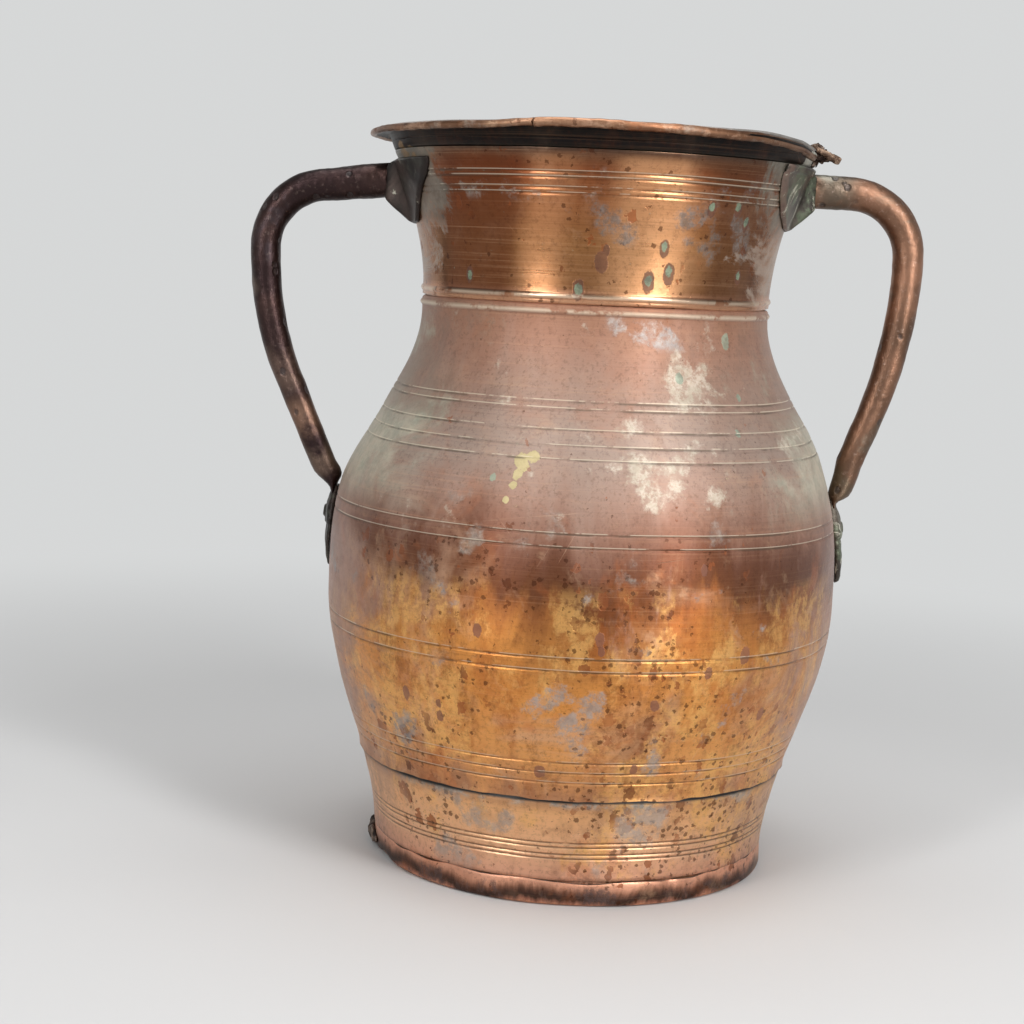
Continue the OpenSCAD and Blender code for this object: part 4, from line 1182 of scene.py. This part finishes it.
def hinge_pin():
    """Rusted pin along Y whose near end is bent outward and down."""
    along = [(112.5, y, 391.8) for y in np.linspace(19.8, -18.5, 30)]
    drop = math.radians(25)
    bend = 3.6
    for t in np.linspace(0, math.pi / 2, 8)[1:]:
        out = bend * (1 - math.cos(t))
        along.append((112.5 + out * math.cos(drop), -18.5 - bend * math.sin(t),
                      391.8 - out * math.sin(drop)))
    last = along[-1]
    for d in np.linspace(0, 10.5, 12)[1:]:
        along.append((last[0] + d * math.cos(drop), last[1], last[2] - d * math.sin(drop)))
    along = np.array(along)
    heading = unit(np.gradient(along, axis=0))
    sideways = unit(np.cross(heading, [0, 0, 1.0]))
    upward = np.cross(sideways, heading)
    tail = clipped((np.arange(len(along)) - 34) / 6)
    radius = 1.5 + 0.45 * tail
    ring = full_turn(18)
    points = along[:, None, :] + radius[:, None, None] * (
        np.cos(ring)[None, :, None] * sideways[:, None, :]
        + np.sin(ring)[None, :, None] * upward[:, None, :])
    lumps = 1 + uneven(points, (0.16, 5, 71), (0.10, 2.4, 72)) * (0.25 + 0.75 * tail)[:, None]
    made = loft("bent_pin", roughened(points, along, lumps), caps=True)
    settle(made, [pin_iron], ["hinge_pin"])


def rust_lump(name, centre, size, seed):
    """Lump of rust as a closed uneven ball."""
    rows = np.linspace(0.04, np.pi - 0.04, 22)
    columns = full_turn(32)
    points = around(np.sin(rows)[:, None], columns, np.cos(rows)[:, None])
    shape = 1 + 0.18 * waves(points * 10, 9, seed) + 0.13 * waves(points * 10, 4, seed + 1)
    points = np.array(centre) + points * shape[..., None] * np.array(size)
    return loft(name, points[::-1], caps=True)


def hinge_rust():
    """Rusty remains that have grown round the knuckles and the leaf."""
    lumps = [rust_lump("lump_a", (113.4, -15.4, 391.4), (3.6, 3.8, 3.4), 81),
             rust_lump("lump_b", (116.0, -17.5, 388.6), (5.2, 4.4, 3.2), 83),
             rust_lump("lump_c", (114.6, -11.4, 388.4), (2.4, 3.4, 2.6), 85),
             rust_lump("lump_d", (115.4, 13.6, 389.4), (2.6, 3.8, 2.4), 87)]
    made = join("hinge_rust", lumps)
    settle(made, [rust], [])


# Lid

def lid():
    """Slightly domed lid with turned rings and a dressed edge."""
    low = 383.1
    thick = 1.5
    edge = 109.38
    dome = 92.0
    rings = (30, 33, 62, 65, 88)
    radii = np.array(sorted(set(np.linspace(0, edge, 60).round(2)) | {
        c + s for c in rings for s in (-0.9, -0.4, 0, 0.4, 0.9)}))
    rise = np.where(radii < dome, 6.6 * (1 - (radii / dome) ** 2), 0)
    ring_cut = sum(0.4 * np.exp(-((radii - c) / 0.6) ** 2) for c in rings)
    over = low + thick + rise - ring_cut
    under = low + rise
    r = np.concatenate([radii, [edge], radii[::-1]])
    z = np.concatenate([over, [low + thick / 2], under[::-1]])
    angles = full_turn(192)
    r = r[:, None]
    points = around(r, angles, z[:, None])
    hump = uneven(points * [1, 1, 0], (0.35, 70, 91), (0.12, 26, 92))
    points[..., 2] += hump * clipped((edge - r) / 14) * clipped(r / 20)
    slots = [0] * (len(radii) + 1) + [1] * len(radii)
    made = loft("lid", points[::-1], row_slots=slots[::-1][:len(r)])
    settle(made, [lid_copper, inside_tin], ["lid_disc"], "lid")


def lid_knob():
    """Turned knob with a soft collar and crown."""
    base = 391.3
    profile = [(0, 0), (7.6, 0), (8.0, 0.3), (8.0, 0.9), (7.2, 1.4), (5.2, 2.0), (4.4, 2.7),
               (4.5, 3.5), (6.0, 4.2), (8.0, 4.8), (8.9, 5.4), (9.0, 6.0), (8.6, 6.7),
               (7.2, 7.7), (5.0, 8.35), (2.4, 8.65), (0, 8.7)]
    r, z = np.array(profile).T[:, :, None]
    made = loft("knob", around(r, full_turn(64), base + z))
    settle(made, [lid_copper], ["lid_knob"], "lid")


def dress_nodes():
    """Materials for the nodes that keep their own shape."""
    finishes = {"left_palmette_rivet": left_brass, "right_palmette_rivet": right_brass,
                "rim_hinge_leaf": rust, "leaf_rivets": rust, "lid_hinge_strap": rust,
                "strap_rivets": rust, "knob_rivet": lid_copper}
    for name, finish in finishes.items():
        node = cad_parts[name]
        node.data.materials.clear()
        node.data.materials.append(finish)


# Room

camera_place = (-0.03967, -1.08081, 0.32583)
camera_lens = 69.23
camera_down = 7.263
camera_roll = 2.668
pale_room = srgb(84, 84.5, 84.5)


def floor():
    """Pale floor that passes into the pale room without a horizon."""
    bpy.ops.mesh.primitive_plane_add(size=30, location=(0, 0, -0.0002))
    plane = bpy.context.object
    plane.name = "floor"
    paper = Shader("floor_paper")
    tone = paper.mix(paper.noise(3, 3), srgb(77.5, 77.5, 77.5), srgb(76, 76, 76))
    paper.coat(tone, 0.0, 0.85, paper.noise(200), 0.0002, 0.2)
    far = paper.steps(paper.length(paper.position), 0.35, 1.1)
    rays = paper.make("LightPath", {}).outputs
    straight, mirrored, through = (Value(paper, rays["Is " + kind + " Ray"])
                                   for kind in ("Camera", "Glossy", "Transmission"))
    seen = ((straight + mirrored).held() + through).held()
    glow = paper.give("Emission", {"Color": pale_room})
    matt = Value(paper, paper.surface.outputs[0])
    both = paper.give("MixShader", {0: far * seen, 1: matt, 2: glow})
    paper.tree.links.new(both.socket, paper.output.inputs[0])
    plane.data.materials.append(paper.material)


def soft_light(name, azimuth, distance, height, width, tall, power):
    """Soft box that faces the jar; azimuth is in degrees to the right of the front."""
    data = bpy.data.lights.new(name, "AREA")
    data.shape = "RECTANGLE"
    data.size, data.size_y = width, tall
    data.energy = power
    lamp = bpy.data.objects.new(name, data)
    turn = math.radians(azimuth)
    lamp.location = (distance * math.sin(turn), -distance * math.cos(turn), height)
    direction = Vector((0, 0, 0.24)) - lamp.location
    lamp.rotation_euler = direction.to_track_quat("-Z", "Y").to_euler()
    bpy.context.scene.collection.objects.link(lamp)


def pale_world():
    """Pale all round, with a dimmer ceiling."""
    world = bpy.data.worlds.new("room")
    bpy.context.scene.world = world
    world.use_nodes = True
    tree = world.node_tree
    way = tree.nodes.new("ShaderNodeTexCoord")
    parts = tree.nodes.new("ShaderNodeSeparateXYZ")
    ramp = tree.nodes.new("ShaderNodeValToRGB")
    low, high = ramp.color_ramp.elements
    low.position, low.color = 0.27, pale_room
    high.position, high.color = 0.62, srgb(50, 50, 50)
    tree.links.new(way.outputs["Generated"], parts.inputs[0])
    tree.links.new(parts.outputs["Z"], ramp.inputs[0])
    tree.links.new(ramp.outputs[0], tree.nodes["Background"].inputs[0])


def room():
    """Floor, surroundings and lights."""
    floor()
    pale_world()
    soft_light("right_box", 36, 1.5, 0.95, 0.3, 1.8, 24)
    soft_light("left_box", -37, 1.5, 0.95, 0.17, 1.8, 12)
    soft_light("top_box", 0, 0.01, 1.9, 1.2, 1.2, 20)
    bpy.context.scene.view_settings.view_transform = "Standard"


def camera():
    """Camera where the photograph was taken from, given in metres and degrees."""
    data = bpy.data.cameras.new("camera")
    data.sensor_width = 36.0
    data.lens = camera_lens
    down = math.radians(camera_down)
    roll = math.radians(camera_roll)
    right = Vector((1, 0, 0))
    forward = Vector((0, math.cos(down), -math.sin(down)))
    up = Vector((0, math.sin(down), math.cos(down)))
    local_x = math.cos(roll) * right + math.sin(roll) * up
    local_y = -math.sin(roll) * right + math.cos(roll) * up
    turn = Matrix((local_x, local_y, -forward)).transposed()
    made = bpy.data.objects.new("camera", data)
    made.matrix_world = Matrix.Translation(camera_place) @ turn.to_4x4()
    bpy.context.scene.collection.objects.link(made)
    bpy.context.scene.camera = made


room()
camera()
bottom_plate()
jar_sheets()
collar_brim()
foot_fragment()
shield("left_shield", -1, 365.9, left_shield_edge, left_brass, "left_upper_socket")
shield("right_shield", 1, 370.4, right_shield_edge, right_brass, "right_upper_socket")
palmette("left_leaf", -1, left_leaf, left_brass, "left_palmette")
palmette("right_leaf", 1, right_leaf, right_brass, "right_palmette")
handle("left_tube", -1, left_path, [0, 0.12, 0.35, 0.6, 0.8, 1], [9.4, 9.0, 8.3, 7.7, 7.3, 6.6],
       left_end, left_copper, "left_handle", 101)
handle("right_tube", 1, right_path, [0, 0.12, 0.35, 0.6, 0.8, 1], [9.4, 9.0, 8.4, 8.0, 7.4, 6.7],
       right_end, right_copper, "right_handle", 103)
hinge_pin()
hinge_rust()
lid()
lid_knob()
dress_nodes()
